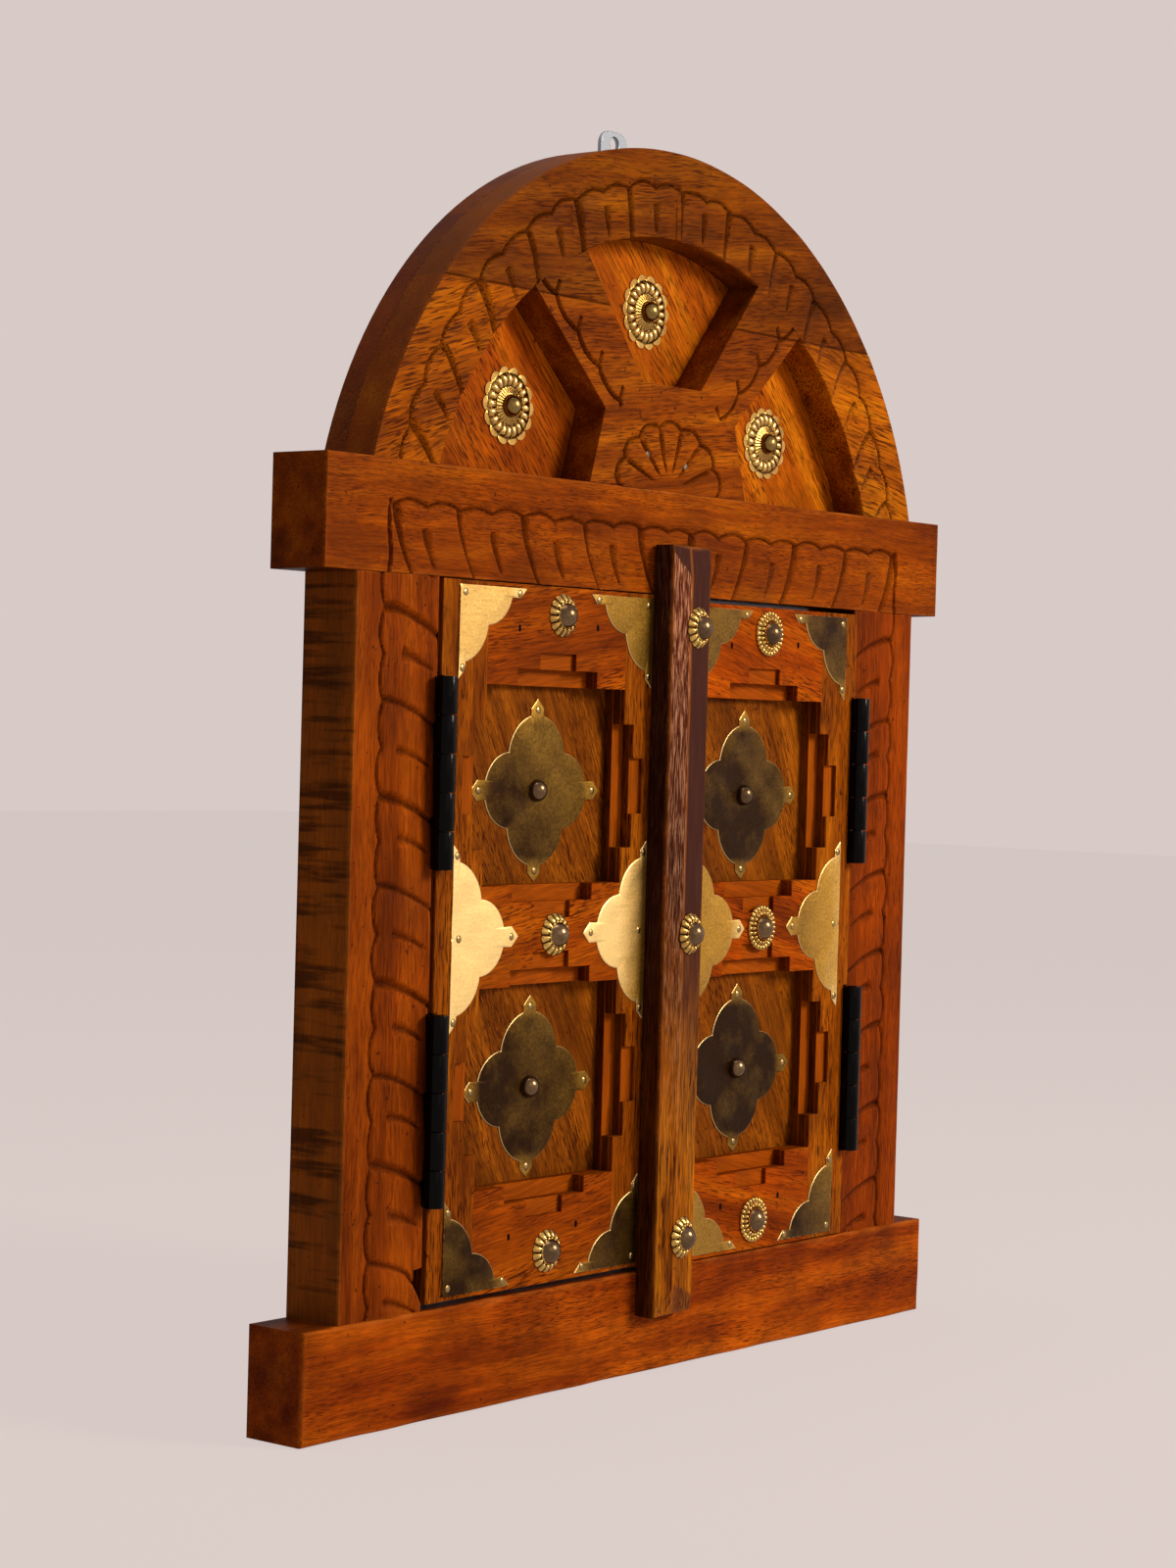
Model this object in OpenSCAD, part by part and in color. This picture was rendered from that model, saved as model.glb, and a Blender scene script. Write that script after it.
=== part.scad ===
// Arched wooden wall window with two hinged leaves, built board by board in millimetres.
// X runs to the right, Y runs into the wall, Z runs up. The hanging hole sits at the origin.

/* [Frame] */
// clear width between the jambs
opening_w = 288; // [276:1:300]
// clear height between sill and lintel
opening_h = 284.6; // [276:0.2:296]
// face width of each jamb
jamb_w = 47; // [42:0.5:52]
// thickness of the jambs, front to back
jamb_d = 27; // [26:0.1:28]
// how far the lintel runs past each jamb
lintel_over = 19; // [12:0.5:24]
// height of the lintel
lintel_h = 43.2; // [38:0.2:48]
// thickness of the lintel, front to back
lintel_d = 28; // [27:0.1:29]
// how far the sill runs past each jamb
sill_over = 20; // [12:0.5:24]
// height of the sill
sill_h = 43; // [38:0.5:48]
// thickness of the sill, front to back
sill_d = 28.3; // [27:0.1:29]

/* [Arch] */
// outer radius of the arch
arch_r = 191.5; // [188:0.5:196]
// how far the arch centre lies below the top of the lintel
arch_drop = 49.6; // [46:0.2:53]
// width of the ring round the fan openings
ring_w = 36.5; // [34:0.5:39]
// thickness of the carved front boards of the arch
arch_front_d = 16; // [14:0.5:18]
// height of the level joint under the crown board, as a share of the ring radius
joint_share = 0.792; // [0.77:0.002:0.81]
// how far the side openings reach past that joint
apex_over = 2; // [1.5:0.1:2.5]
// height of the floor of the top opening over the arch centre, as a share of the ring radius
floor_share = 0.605; // [0.595:0.005:0.62]
// half width of that floor, as a share of the ring radius
floor_half_share = 0.129; // [0.11:0.001:0.14]
// slope of the sides of the top opening, in degrees
fan_slope = 51; // [48:0.5:54]
// sideways place of the knee of each side opening, as a share of the ring radius
knee_out_share = 0.29; // [0.28:0.005:0.31]
// height of that knee over the arch centre, as a share of the ring radius
knee_up_share = 0.521; // [0.51:0.001:0.535]
// sideways place where each side opening meets the lintel, as a share of the ring radius
foot_share = 0.348; // [0.32:0.002:0.37]

/* [Leaf carving] */
// width of the carved band on jambs and lintel
band_w = 30; // [27:0.5:33]
// width of the carved band on the lintel
lintel_band_w = 25.5; // [23:0.5:28]
// width of the carved band on the arch ring
ring_band_w = 20; // [18:0.5:21.5]
// leaves on each jamb
jamb_leaves = 8; // [7:1:9]
// leaves on each half of the lintel
lintel_leaves = 4.5; // [3.5:1:5.5]
// place of the first jamb leaf, as a share of one leaf
jamb_phase = 0.37; // [0.2:0.01:0.45]
// place of the first ring leaf beside the apex, as a share of one leaf
ring_phase = 0.1; // [0.05:0.01:0.2]
// angle between leaves on the ring, in degrees
ring_step = 11.7; // [11:0.1:12.5]
// depth of the long grooves
groove_depth = 1.6; // [1:0.1:2]
// depth of the fine lines
line_depth = 1.1; // [0.6:0.1:1.5]
// half width of a long groove
groove_half = 1; // [0.8:0.05:1.2]
// half width of a fine line
line_half = 0.6; // [0.4:0.05:0.8]
// rise of each scallop
scallop_rise = 2.2; // [1.6:0.1:2.6]
// how far a groove drifts along the band
groove_drift = 10; // [7:0.5:12]
// height of the chip out of the left jamb
chip_h = 14; // [10:0.5:17]
// how deep that chip goes into the edge
chip_in = 5; // [3:0.1:6]
// height of the foot of that chip over the sill
chip_foot = 3; // [2:0.5:6]
// wood left beside the half flower at the foot of the arch
flower_side = 15; // [13:0.5:18]
// wood left over that half flower
flower_top = 13.2; // [12:0.2:15]
// petals of that half flower
petals = 7; // [6:1:8]

/* [Leaves of the window] */
// gap between jamb and leaf
hinge_gap = 1.3; // [1:0.1:1.6]
// gap between the two leaves
meet_gap = 4.6; // [4.2:0.1:5]
// total play above and below a leaf
leaf_play = 3; // [2.6:0.1:3.4]
// how high the left leaf hangs over the sill
left_lift = 2.5; // [1:0.1:2.8]
// how high the right leaf hangs over the sill
right_lift = 0.8; // [0.5:0.1:2]
// thickness of the back board of a leaf
leaf_board = 7.5; // [6.5:0.1:8]
// thickness of the stiles and rails
leaf_frame = 10.5; // [9.5:0.1:11]
// width of the stile on the hinge side
hinge_stile_w = 27.2; // [25:0.2:29]
// width of the stile on the meeting side
meet_stile_w = 24.7; // [24:0.1:27]
// height of the top rail
top_rail_h = 40.2; // [38:0.2:42]
// height of the middle rail
mid_rail_h = 40.3; // [38:0.1:44]
// height of the bottom rail
bottom_rail_h = 41.3; // [39:0.1:45]
// width of each step of the stepped niches
niche_step = 6.7; // [6:0.1:7]
// length of the first step
niche_long = 51; // [46:0.5:54]
// length of the second step
niche_short = 23; // [20:0.5:26]
// depth of the first step
niche_deep = 6.2; // [5.5:0.1:7]
// depth of the second step
niche_shallow = 2.1; // [1.6:0.1:2.6]

/* [Cover strip] */
// place of the left edge of the strip
strip_left = -9.5; // [-10:0.5:-8]
// width of the strip
strip_w = 29; // [27:0.5:31]
// thickness of the strip
strip_d = 9.8; // [8:0.1:11]
// how far the strip runs up over the lintel
strip_up = 20.4; // [16:0.2:24]
// how far the strip runs down over the sill
strip_down = 18.4; // [14:0.2:22]
// slack behind the strip where it passes sill and lintel
strip_gap = 0.5; // [0.4:0.05:0.8]
// width of the sloped part along the right edge
chamfer_w = 15.8; // [13:0.2:18]
// how far that part drops to the right edge
chamfer_d = 2; // [1.5:0.1:3]
// length of the slanted cut at each end, where the sloped part starts
end_bevel = 13; // [10:0.2:15]
// length of that cut at the left edge
end_start = 3; // [2:0.1:4]
// depth of that cut at the right corner
end_drop = 2.8; // [2.2:0.1:3.5]
// distance of the strip studs from the right edge
strip_stud_in = 10; // [9:0.1:11]

/* [Brass] */
// thickness of the brass sheet
sheet_t = 0.5; // [0.4:0.05:0.7]
// gap between a plate and the sides of its panel
plate_side_gap = 3.2; // [2.5:0.1:4]
// gap between a plate and the ends of its panel
plate_end_gap = 2.6; // [2.5:0.1:4]
// length of the side tips
side_tip = 8.6; // [8:0.1:9.5]
// length of the end tips
end_tip = 6.6; // [4.8:0.1:7.2]
// radius of the side lobes, as a share of their reach
side_round = 0.475; // [0.46:0.005:0.5]
// radius of the upper and lower lobes, as a share of their reach
end_round = 0.584; // [0.57:0.002:0.6]
// half width of a tip
tip_half = 4.2; // [3.8:0.1:4.6]
// distance of the plates from the hinge edge of a leaf
plate_inset = 9.2; // [8:0.1:10]
// distance of the corner plates from top and bottom of a leaf
plate_margin = 1.8; // [1.2:0.1:2.4]
// distance between a plate and the edge of the strip
plate_gap = 0.6; // [0.4:0.1:1]
// how far the plates hang below the middle of their panels
plate_drop = 2.2; // [1.5:0.1:2.3]
// radius of the small dome nails
nail_r = 4.7; // [4.3:0.1:5]
// radius of the nail shanks
shank_r = 1; // [0.8:0.05:1.2]
// length of a shank in the wood
shank_len = 6; // [5:0.1:6.3]
// slack round a shank
shank_gap = 0.1; // [0.05:0.05:0.15]
// radius of the fluted cups
cup_r = 8.9; // [8:0.1:9.5]
// height of the fluted cups
cup_h = 2.6; // [2.2:0.1:4.2]
// flutes round a cup
cup_flutes = 16; // [14:1:18]
// radius of the rosette studs on the right leaf
bead_r = 10; // [9.5:0.1:10.5]
// height of those rosettes
bead_h = 2.2; // [1.8:0.1:3.4]
// radius of the dark stud domes
dome_r = 5.1; // [4.6:0.1:6]
// height of those domes
dome_high = 3.6; // [3:0.1:4.6]
// distance of the upper rail studs from the top of a leaf
stud_inset = 11.4; // [11:0.1:12]
// distance of the lower rail studs from the bottom of a leaf
stud_low = 13; // [12:0.1:14]
// how far the rail studs sit to the right of the panel middle
stud_aside = 2.2; // [1:0.1:3]
// radius of the arch rosettes over the petal ends, as a share of the ring radius
rosette_share = 0.102; // [0.095:0.001:0.105]
// petals of an arch rosette
rosette_petals = 13; // [12:1:14]
// seeds round the ring of an arch rosette
rosette_seeds = 20; // [18:1:22]
// sideways place of the outer rosettes, as a share of the ring radius
rosette_out_share = 0.574; // [0.56:0.002:0.59]
// height of the outer rosettes over the lintel, in rosette radii
rosette_lift = 1.785; // [1.6:0.005:1.9]
// height of the upper rosette over the arch centre, as a share of the ring radius
rosette_top_share = 0.812; // [0.8:0.002:0.83]

/* [Hinges] */
// length of a hinge
hinge_len = 75; // [70:0.5:80]
// distance of the hinge middle from the end of a leaf
hinge_inset = 75.4; // [72:0.2:80]
// how far the hinge pin stands in front of the lintel
pin_proud = 3.5; // [3.2:0.1:4]
// radius of the knuckles
barrel_r = 4.2; // [4:0.1:4.4]
// radius of the hinge pin
pin_r = 2.1; // [1.8:0.1:2.3]
// slack of the pin in the knuckles
pin_gap = 0.1; // [0.05:0.05:0.15]
// slack between knuckles, and round the barrel
knuckle_gap = 0.4; // [0.3:0.05:0.5]
// thickness of the hinge plates
hinge_t = 1.2; // [1:0.1:1.4]
// reach of the hinge plates behind the pin
hinge_reach = 18; // [16:0.2:19]

/* [Hanger] */
// sideways place of the hanging tab
hang_x = -11; // [-14:0.5:-8]
// height of the hanging hole over the arch edge
hang_over = 4.6; // [4:0.1:5]
// radius of the hanging hole
hang_r = 3; // [2.6:0.1:3.2]
// width of the tab
tab_w = 18; // [16:0.5:20]
// thickness of the tab
tab_t = 2; // [1.6:0.1:2.4]
// metal above the middle of the hole
tab_head = 5.2; // [4.8:0.1:5.6]
// length of the tab below the hole
tab_tail = 30; // [27:0.5:33]
// radius of the screw heads
screw_head_r = 3.2; // [2.8:0.1:3.4]
// radius of the screw shanks
screw_r = 1.5; // [1.3:0.1:1.7]
// length of a screw in the wood
screw_len = 7; // [6:0.1:7.5]

/* [Hidden] */
$fn = 64;
arc_fn = 180;
cut = 1;                      // how far a cutter runs past a face
deg = 180 / PI;
knuckles = 5;
wave_steps = 6;               // points on one scallop
groove_steps = 6;
z_lintel = sill_h + opening_h;
z_arch = z_lintel + lintel_h;
z_centre = z_arch - arch_drop;
outer_half = opening_w / 2 + jamb_w;
ring_r = arch_r - ring_w;
joint_h = ring_r * joint_share - arch_drop;
fan_floor = ring_r * floor_share - arch_drop;
fan_floor_half = ring_r * floor_half_share;
knee_x = ring_r * knee_out_share;
knee_h = ring_r * knee_up_share - arch_drop;
fan_foot_x = ring_r * foot_share;
arch_back_d = lintel_d - arch_front_d - tab_t;
y_board = arch_front_d - lintel_d;
left_front = lintel_d;
right_front = max(lintel_d, sill_d) + strip_gap;
pin_y = lintel_d + pin_proud;
leaf_w = opening_w / 2 - hinge_gap - meet_gap / 2;
leaf_h = opening_h - leaf_play;
leaf_t = leaf_board + leaf_frame;
pane_w = leaf_w - hinge_stile_w - meet_stile_w;
pane_h = (leaf_h - top_rail_h - mid_rail_h - bottom_rail_h) / 2;
z_low = bottom_rail_h;
z_mid = z_low + pane_h;
z_up = z_mid + mid_rail_h;
z_top = z_up + pane_h;
pane_x = hinge_stile_w + pane_w / 2;
strip_right = strip_left + strip_w;
left_edge = strip_left - plate_gap + opening_w / 2 - hinge_gap;
right_edge = opening_w / 2 - hinge_gap - strip_right - plate_gap;
foil_w = pane_w - 2 * plate_side_gap;
foil_h = pane_h - 2 * plate_end_gap;
side_lobe_r = (foil_w / 2 - side_tip) * side_round;
side_lobe_x = foil_w / 2 - side_tip - side_lobe_r;
end_lobe_r = (foil_h / 2 - end_tip) * end_round;
end_lobe_z = foil_h / 2 - end_tip - end_lobe_r;
stud_z = [stud_low, z_mid + mid_rail_h / 2, leaf_h - stud_inset];
hinge_z = [hinge_inset, leaf_h - hinge_inset];
shank_hole = shank_r + shank_gap;
hang_z = z_centre + sqrt(arch_r * arch_r - hang_x * hang_x) + hang_over;
screw_z = [hang_z - tab_tail * 0.5, hang_z - tab_tail * 0.82];
rosette_r = ring_r * rosette_share;
rosette_at = [
    [-ring_r * rosette_out_share, z_arch + rosette_r * rosette_lift],
    [0, z_centre + ring_r * rosette_top_share],
    [ring_r * rosette_out_share, z_arch + rosette_r * rosette_lift]
];
line_x = opening_w / 2 + band_w;
z_line = z_lintel + lintel_band_w;
lintel_pitch = line_x / lintel_leaves;
jamb_pitch = opening_h / jamb_leaves;
line_r = ring_r + ring_band_w;
ring_pitch = line_r * ring_step / deg;
ring_drift = groove_drift * 0.5;
lintel_phase = 2 * groove_half / lintel_pitch;
flower_half = fan_foot_x - flower_side;
flower_h = fan_floor - flower_top;
spoke_in = 7;                 // how far the spoke line keeps off the knee
spoke_off = 9;                // how far it keeps off the side opening

module place() translate([-hang_x, 0, -hang_z]) children();

// leaf drawing: X from the hinge edge, Y back from the leaf front, Z from the leaf bottom
module on_left()
    translate([hinge_gap - opening_w / 2, -left_front, sill_h + left_lift]) children();
module on_right()
    translate([opening_w / 2 - hinge_gap, -right_front, sill_h + right_lift])
        mirror([1, 0, 0]) children();

// turns a drawing in X and Y upright and pushes it out of the wall
module upright(y, thick)
    translate([0, y, 0]) rotate([90, 0, 0]) linear_extrude(thick) children();
module facing(x, y, z) translate([x, y, z]) rotate([90, 0, 0]) children();

// carving: s runs along a band, t runs from the scalloped line to the inner edge
function band_point(s, t, rad) = rad == 0
    ? [s, -t]
    : [(rad - t) * sin(s / rad * deg), (rad - t) * cos(s / rad * deg)];
function scallop(s, pitch) = -scallop_rise * abs(sin(s / pitch * 360));
function taper(u) = 0.45 + 0.55 * sin(30 + 150 * u);
function groove(s, t0, t1, drift, rad) = concat(
    [for (i = [0:groove_steps]) let (u = i / groove_steps)
        band_point(s + drift * pow(u, 1.6) - groove_half * taper(u), t0 + (t1 - t0) * u, rad)],
    [for (i = [groove_steps:-1:0]) let (u = i / groove_steps)
        band_point(s + drift * pow(u, 1.6) + groove_half * taper(u), t0 + (t1 - t0) * u, rad)]);
function scallop_line(s0, s1, pitch, phase, rad) =
    let (n = ceil((s1 - s0) / pitch * 2 * wave_steps))
    concat(
        [for (i = [0:n]) let (s = s0 + (s1 - s0) * i / n)
            band_point(s, scallop(s - phase * pitch, pitch) - line_half, rad)],
        [for (i = [n:-1:0]) let (s = s0 + (s1 - s0) * i / n)
            band_point(s, scallop(s - phase * pitch, pitch) + line_half, rad)]);

module leaf_grooves(first, last, pitch, phase, width, drift, rad) for (i = [first:last])
    linear_extrude(groove_depth + cut)
        polygon(groove((i + phase) * pitch, -line_half, width + cut, drift, rad));
module leaf_ticks(first, last, pitch, phase, width, drift, rad) for (i = [first:last])
    linear_extrude(line_depth + cut)
        polygon(groove((i + phase + 0.5) * pitch, width * 0.32, width * 0.92, drift * 0.6, rad));
module scallops(s0, s1, pitch, phase, rad)
    linear_extrude(line_depth + cut) polygon(scallop_line(s0, s1, pitch, phase, rad));

// stands a cutter on a front face, so that it sinks by its own depth
module carve(front, depth) translate([0, depth - front, 0]) rotate([90, 0, 0]) children();

module sill() color("peru") place() translate([-outer_half - sill_over, -sill_d, 0])
    cube([2 * (outer_half + sill_over), sill_d, sill_h]);

module lintel() color("peru") place() difference() {
    translate([-outer_half - lintel_over, -lintel_d, z_lintel])
        cube([2 * (outer_half + lintel_over), lintel_d, lintel_h]);
    for (side = [0, 1]) mirror([side, 0, 0]) translate([-line_x, 0, z_line]) {
        carve(lintel_d, groove_depth)
            leaf_grooves(0, floor(lintel_leaves), lintel_pitch, lintel_phase, lintel_band_w, groove_drift, 0);
        carve(lintel_d, line_depth)
            leaf_ticks(0, floor(lintel_leaves) - 1, lintel_pitch, lintel_phase, lintel_band_w, groove_drift, 0);
        carve(lintel_d, line_depth) scallops(0, line_x - cut, lintel_pitch, lintel_phase, 0);
        carve(lintel_d, line_depth) translate([-line_half, -lintel_band_w - cut])
            linear_extrude(line_depth + cut) square([line_half * 2, lintel_band_w + cut + scallop_rise]);
    }
}

module jamb_body() difference() {
    translate([-outer_half, -jamb_d, sill_h]) cube([jamb_w, jamb_d, opening_h]);
    translate([-line_x, 0, z_lintel]) {
        carve(jamb_d, groove_depth) mirror([1, 0]) rotate(-90)
            leaf_grooves(0, jamb_leaves - 1, jamb_pitch, jamb_phase, band_w, groove_drift, 0);
        carve(jamb_d, line_depth) mirror([1, 0]) rotate(-90)
            leaf_ticks(0, jamb_leaves - 1, jamb_pitch, jamb_phase, band_w, groove_drift, 0);
        carve(jamb_d, line_depth) mirror([1, 0]) rotate(-90)
            scallops(-cut, opening_h + cut, jamb_pitch, jamb_phase, 0);
    }
}

module jamb_left() color("chocolate") place() difference() {
    jamb_body();
    on_left() hinge_gains(left_front);
    // a chip is missing from the inner edge near the foot
    translate([-opening_w / 2, 0, sill_h]) upright(jamb_d / -2, jamb_d)
        polygon([[cut, chip_foot + chip_h], [-chip_in, chip_foot + chip_h], [-chip_in, chip_foot + chip_h * 0.6],
            [-chip_in * 0.5, chip_foot + chip_h * 0.25], [cut, chip_foot]]);
}

module jamb_right() color("chocolate") place() difference() {
    mirror([1, 0, 0]) jamb_body();
    on_right() hinge_gains(right_front);
}

// the half round of the arch above the lintel, between two distances from the wall
module half_round(y_front, y_back, rad) intersection() {
    translate([0, y_back, z_centre]) rotate([90, 0, 0]) cylinder(r = rad, h = y_back - y_front, $fn = arc_fn);
    translate([-arch_r, y_front - cut, z_arch]) cube([2 * arch_r, y_back - y_front + 2 * cut, arch_r]);
}

module arch_back_board() color("sienna") place() difference() {
    half_round(y_board, -tab_t, arch_r);
    for (p = rosette_at) facing(p[0], y_board + shank_len, p[1])
        cylinder(r = shank_hole, h = shank_len + cut);
    for (z = screw_z) facing(hang_x, -tab_t + cut, z)
        cylinder(r = screw_r + shank_gap, h = screw_len + cut);
}

apex_z = joint_h + apex_over;
apex_x = sqrt(ring_r * ring_r - pow(apex_z + arch_drop, 2));
fan_far = arch_r;

module fan_openings() {
    intersection() {
        facing(0, y_board + cut, z_centre)
            cylinder(r = ring_r, h = arch_front_d + 2 * cut, $fn = arc_fn);
        translate([0, 0, z_arch]) union() {
            upright(y_board + cut, arch_front_d + 2 * cut) polygon([
                [-fan_floor_half, fan_floor], [fan_floor_half, fan_floor],
                [fan_floor_half + fan_far * cos(fan_slope), fan_floor + fan_far * sin(fan_slope)],
                [-fan_floor_half - fan_far * cos(fan_slope), fan_floor + fan_far * sin(fan_slope)]]);
            for (side = [0, 1]) mirror([side, 0, 0]) upright(y_board + cut, arch_front_d + 2 * cut)
                polygon([
                    [knee_x, knee_h],
                    [knee_x + 1.2 * (apex_x - knee_x), knee_h + 1.2 * (apex_z - knee_h)],
                    [fan_far, knee_h + 1.2 * (apex_z - knee_h)], [fan_far, -cut],
                    [fan_foot_x - cut * (knee_x - fan_foot_x) / knee_h, -cut]]);
        }
    }
}

module ring_carving(side, first, last, ticks, phase, s0, s1)
    mirror([side, 0, 0]) translate([0, 0, z_centre]) {
        carve(lintel_d, groove_depth)
            leaf_grooves(first, last, ring_pitch, phase, ring_band_w, ring_drift, line_r);
        carve(lintel_d, line_depth)
            leaf_ticks(ticks, last, ring_pitch, phase, ring_band_w, ring_drift, line_r);
        carve(lintel_d, line_depth) scallops(s0, s1, ring_pitch, phase, line_r);
    }

module ring_board() difference() {
    half_round(-lintel_d, y_board, arch_r);
    fan_openings();
}

joint_s = acos((joint_h + arch_drop) / line_r) * line_r / deg;
foot_s = acos(arch_drop / line_r) * line_r / deg;

module arch_crown() color("goldenrod") place() difference() {
    intersection() {
        ring_board();
        translate([-arch_r, -lintel_d - cut, z_arch + joint_h]) cube([2 * arch_r, arch_front_d + 2 * cut, arch_r]);
    }
    ring_carving(0, 0, 3, 0, ring_phase, 0, joint_s + ring_pitch);
    ring_carving(1, 0, 3, -1, 1 - ring_phase, -line_half, joint_s + ring_pitch);
}

module arch_leg() intersection() {
    ring_board();
    translate([-arch_r, -lintel_d - cut, z_arch - cut])
        cube([arch_r - knee_x, arch_front_d + 2 * cut, joint_h + cut]);
    half_side();
}
// keeps what lies outside the side opening, so that the spoke is left to the middle piece
module half_side() translate([0, 0, z_arch - cut]) upright(y_board + cut, arch_front_d + 2 * cut)
    polygon([[-arch_r, 0], [-fan_foot_x - ring_w * 0.5, 0], [-apex_x, apex_z + cut], [-arch_r, apex_z + cut]]);

module arch_leg_left() color("orange") place() difference() {
    arch_leg();
    ring_carving(1, 2, 5, 2, 1 - ring_phase, joint_s - ring_pitch, foot_s + ring_pitch);
}

module arch_leg_right() color("orange") place() difference() {
    mirror([1, 0, 0]) arch_leg();
    ring_carving(0, 3, 6, 2, ring_phase, joint_s - ring_pitch, foot_s + ring_pitch);
}

function flower_point(a, grow) = let (k = 1 + grow + 0.07 * abs(sin(a * petals)))
    [flower_half * 0.86 * k * cos(a), flower_h * 0.86 * k * sin(a)];
function spoke_point(u, off) = let (
    ax = knee_x - spoke_in, az = knee_h + spoke_in, bx = apex_x - spoke_off, bz = joint_h - cut,
    w = off + scallop_rise * 0.6 * sin(u * 720), len = norm([bx - ax, bz - az]))
    [ax + (bx - ax) * u - w * (bz - az) / len, az + (bz - az) * u + w * (bx - ax) / len];

module arch_fan_centre() color("orange") place() difference() {
    intersection() {
        ring_board();
        translate([-apex_x, -lintel_d - cut, z_arch - cut]) cube([2 * apex_x, arch_front_d + 2 * cut, joint_h + cut]);
        translate([0, 0, z_arch - cut]) upright(y_board + cut, arch_front_d + 2 * cut)
            polygon([[fan_foot_x + ring_w * 0.5, 0], [apex_x, apex_z + cut], [-apex_x, apex_z + cut],
                [-fan_foot_x - ring_w * 0.5, 0]]);
    }
    translate([0, 0, z_arch]) {
        carve(lintel_d, line_depth) linear_extrude(line_depth + cut) polygon(concat(
            [for (i = [0:petals * wave_steps]) flower_point(180 * i / petals / wave_steps, 0)],
            [for (i = [petals * wave_steps:-1:0]) flower_point(180 * i / petals / wave_steps, line_half / 13)]));
        for (i = [1:petals - 1]) let (a = 180 * i / petals) carve(lintel_d, groove_depth)
            linear_extrude(groove_depth + cut) polygon([
                flower_point(a - 1.2, -0.72), flower_point(a - 3, -0.25), flower_point(a, -0.02),
                flower_point(a + 3, -0.25), flower_point(a + 1.2, -0.72)]);
        for (side = [0, 1]) mirror([side, 0, 0]) carve(lintel_d, line_depth)
            linear_extrude(line_depth + cut) polygon(concat(
                [for (i = [0:4 * wave_steps]) spoke_point(i / 4 / wave_steps, -line_half)],
                [for (i = [4 * wave_steps:-1:0]) spoke_point(i / 4 / wave_steps, line_half)]));
    }
}

module hanger_plate() color("silver") place() difference() {
    union() {
        translate([hang_x - tab_w / 2, -tab_t, hang_z - tab_tail])
            cube([tab_w, tab_t, tab_tail + tab_head - tab_w / 3]);
        translate([hang_x - tab_w / 6, -tab_t, hang_z - tab_tail])
            cube([tab_w / 3, tab_t, tab_tail + tab_head]);
        for (x = [-1, 1]) facing(hang_x + x * tab_w / 6, 0, hang_z + tab_head - tab_w / 3)
            cylinder(r = tab_w / 3, h = tab_t);
    }
    facing(hang_x, cut, hang_z) cylinder(r = hang_r, h = tab_t + 2 * cut);
    for (z = screw_z) facing(hang_x, 0, z) {
        translate([0, 0, -cut]) cylinder(r = screw_r + shank_gap, h = tab_t + 2 * cut);
        translate([0, 0, -cut]) cylinder(r = screw_head_r + shank_gap, h = tab_t / 2 + cut);
    }
}

module hanger_screws() color("gray") place() for (z = screw_z) facing(hang_x, 0, z) {
    cylinder(r = screw_r, h = tab_t + screw_len - cut);
    cylinder(r = screw_head_r, h = tab_t / 2);
}

// brass: domes on shanks, fluted cups, rosettes and the plates cut from one blank
module dome(rad, high, lift) {
    ball = (rad * rad + high * high) / (2 * high);
    translate([0, 0, lift]) intersection() {
        translate([0, 0, high - ball]) sphere(r = ball);
        translate([-ball, -ball, 0]) cube([2 * ball, 2 * ball, ball]);
    }
    translate([0, 0, cut - shank_len]) cylinder(r = shank_r, h = shank_len + lift);
}

// a square bar on edge, which cuts one flute
module notch(side, high) rotate(45) translate([-side / 2, -side / 2, 0]) cube([side, side, high]);

module rosette() difference() {
    union() {
        cylinder(r = rosette_r * 0.86, h = sheet_t);
        for (i = [1:rosette_petals]) rotate(i * 360 / rosette_petals)
            translate([rosette_r * 0.8, 0, 0]) cylinder(r = rosette_r * 0.2, h = sheet_t);
        rotate_extrude() polygon([
            [shank_hole, 0], [rosette_r * 0.72, 0], [rosette_r * 0.72, sheet_t * 2], [rosette_r * 0.62, sheet_t * 4],
            [rosette_r * 0.44, sheet_t * 3.4], [rosette_r * 0.34, sheet_t * 4], [shank_hole, sheet_t * 4]]);
    }
    translate([0, 0, -cut]) cylinder(r = shank_hole, h = sheet_t * 4 + 2 * cut);
    for (i = [1:rosette_seeds]) rotate(i * 360 / rosette_seeds) translate([rosette_r * 0.75, 0, sheet_t])
        notch(rosette_r * 0.1, sheet_t * 4);
}

module arch_rosettes() color("gold") place() for (p = rosette_at) facing(p[0], y_board, p[1]) rosette();

module arch_dome_nails() color("darkgoldenrod") place()
    for (p = rosette_at) facing(p[0], y_board, p[1]) dome(nail_r, nail_r, sheet_t * 4);

module cup() difference() {
    rotate_extrude() polygon([
        [shank_hole, 0], [cup_r * 0.86, 0], [cup_r, cup_h * 0.3], [cup_r * 0.92, cup_h * 0.62],
        [cup_r * 0.7, cup_h], [shank_hole, cup_h]]);
    for (i = [1:cup_flutes]) rotate(i * 360 / cup_flutes) translate([cup_r, 0, -cut])
        notch(cup_r * 0.14, cup_h + 2 * cut);
}

module bead_rosette() difference() {
    rotate_extrude() polygon([
        [shank_hole, 0], [bead_r, 0], [bead_r, bead_h * 0.3], [bead_r * 0.86, bead_h * 0.75],
        [bead_r * 0.74, bead_h * 0.75], [bead_r * 0.68, bead_h * 0.5], [bead_r * 0.6, bead_h],
        [shank_hole, bead_h]]);
    for (i = [1:cup_flutes]) rotate(i * 360 / cup_flutes) translate([bead_r, 0, -cut])
        notch(bead_r * 0.12, bead_h + 2 * cut);
}

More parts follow.
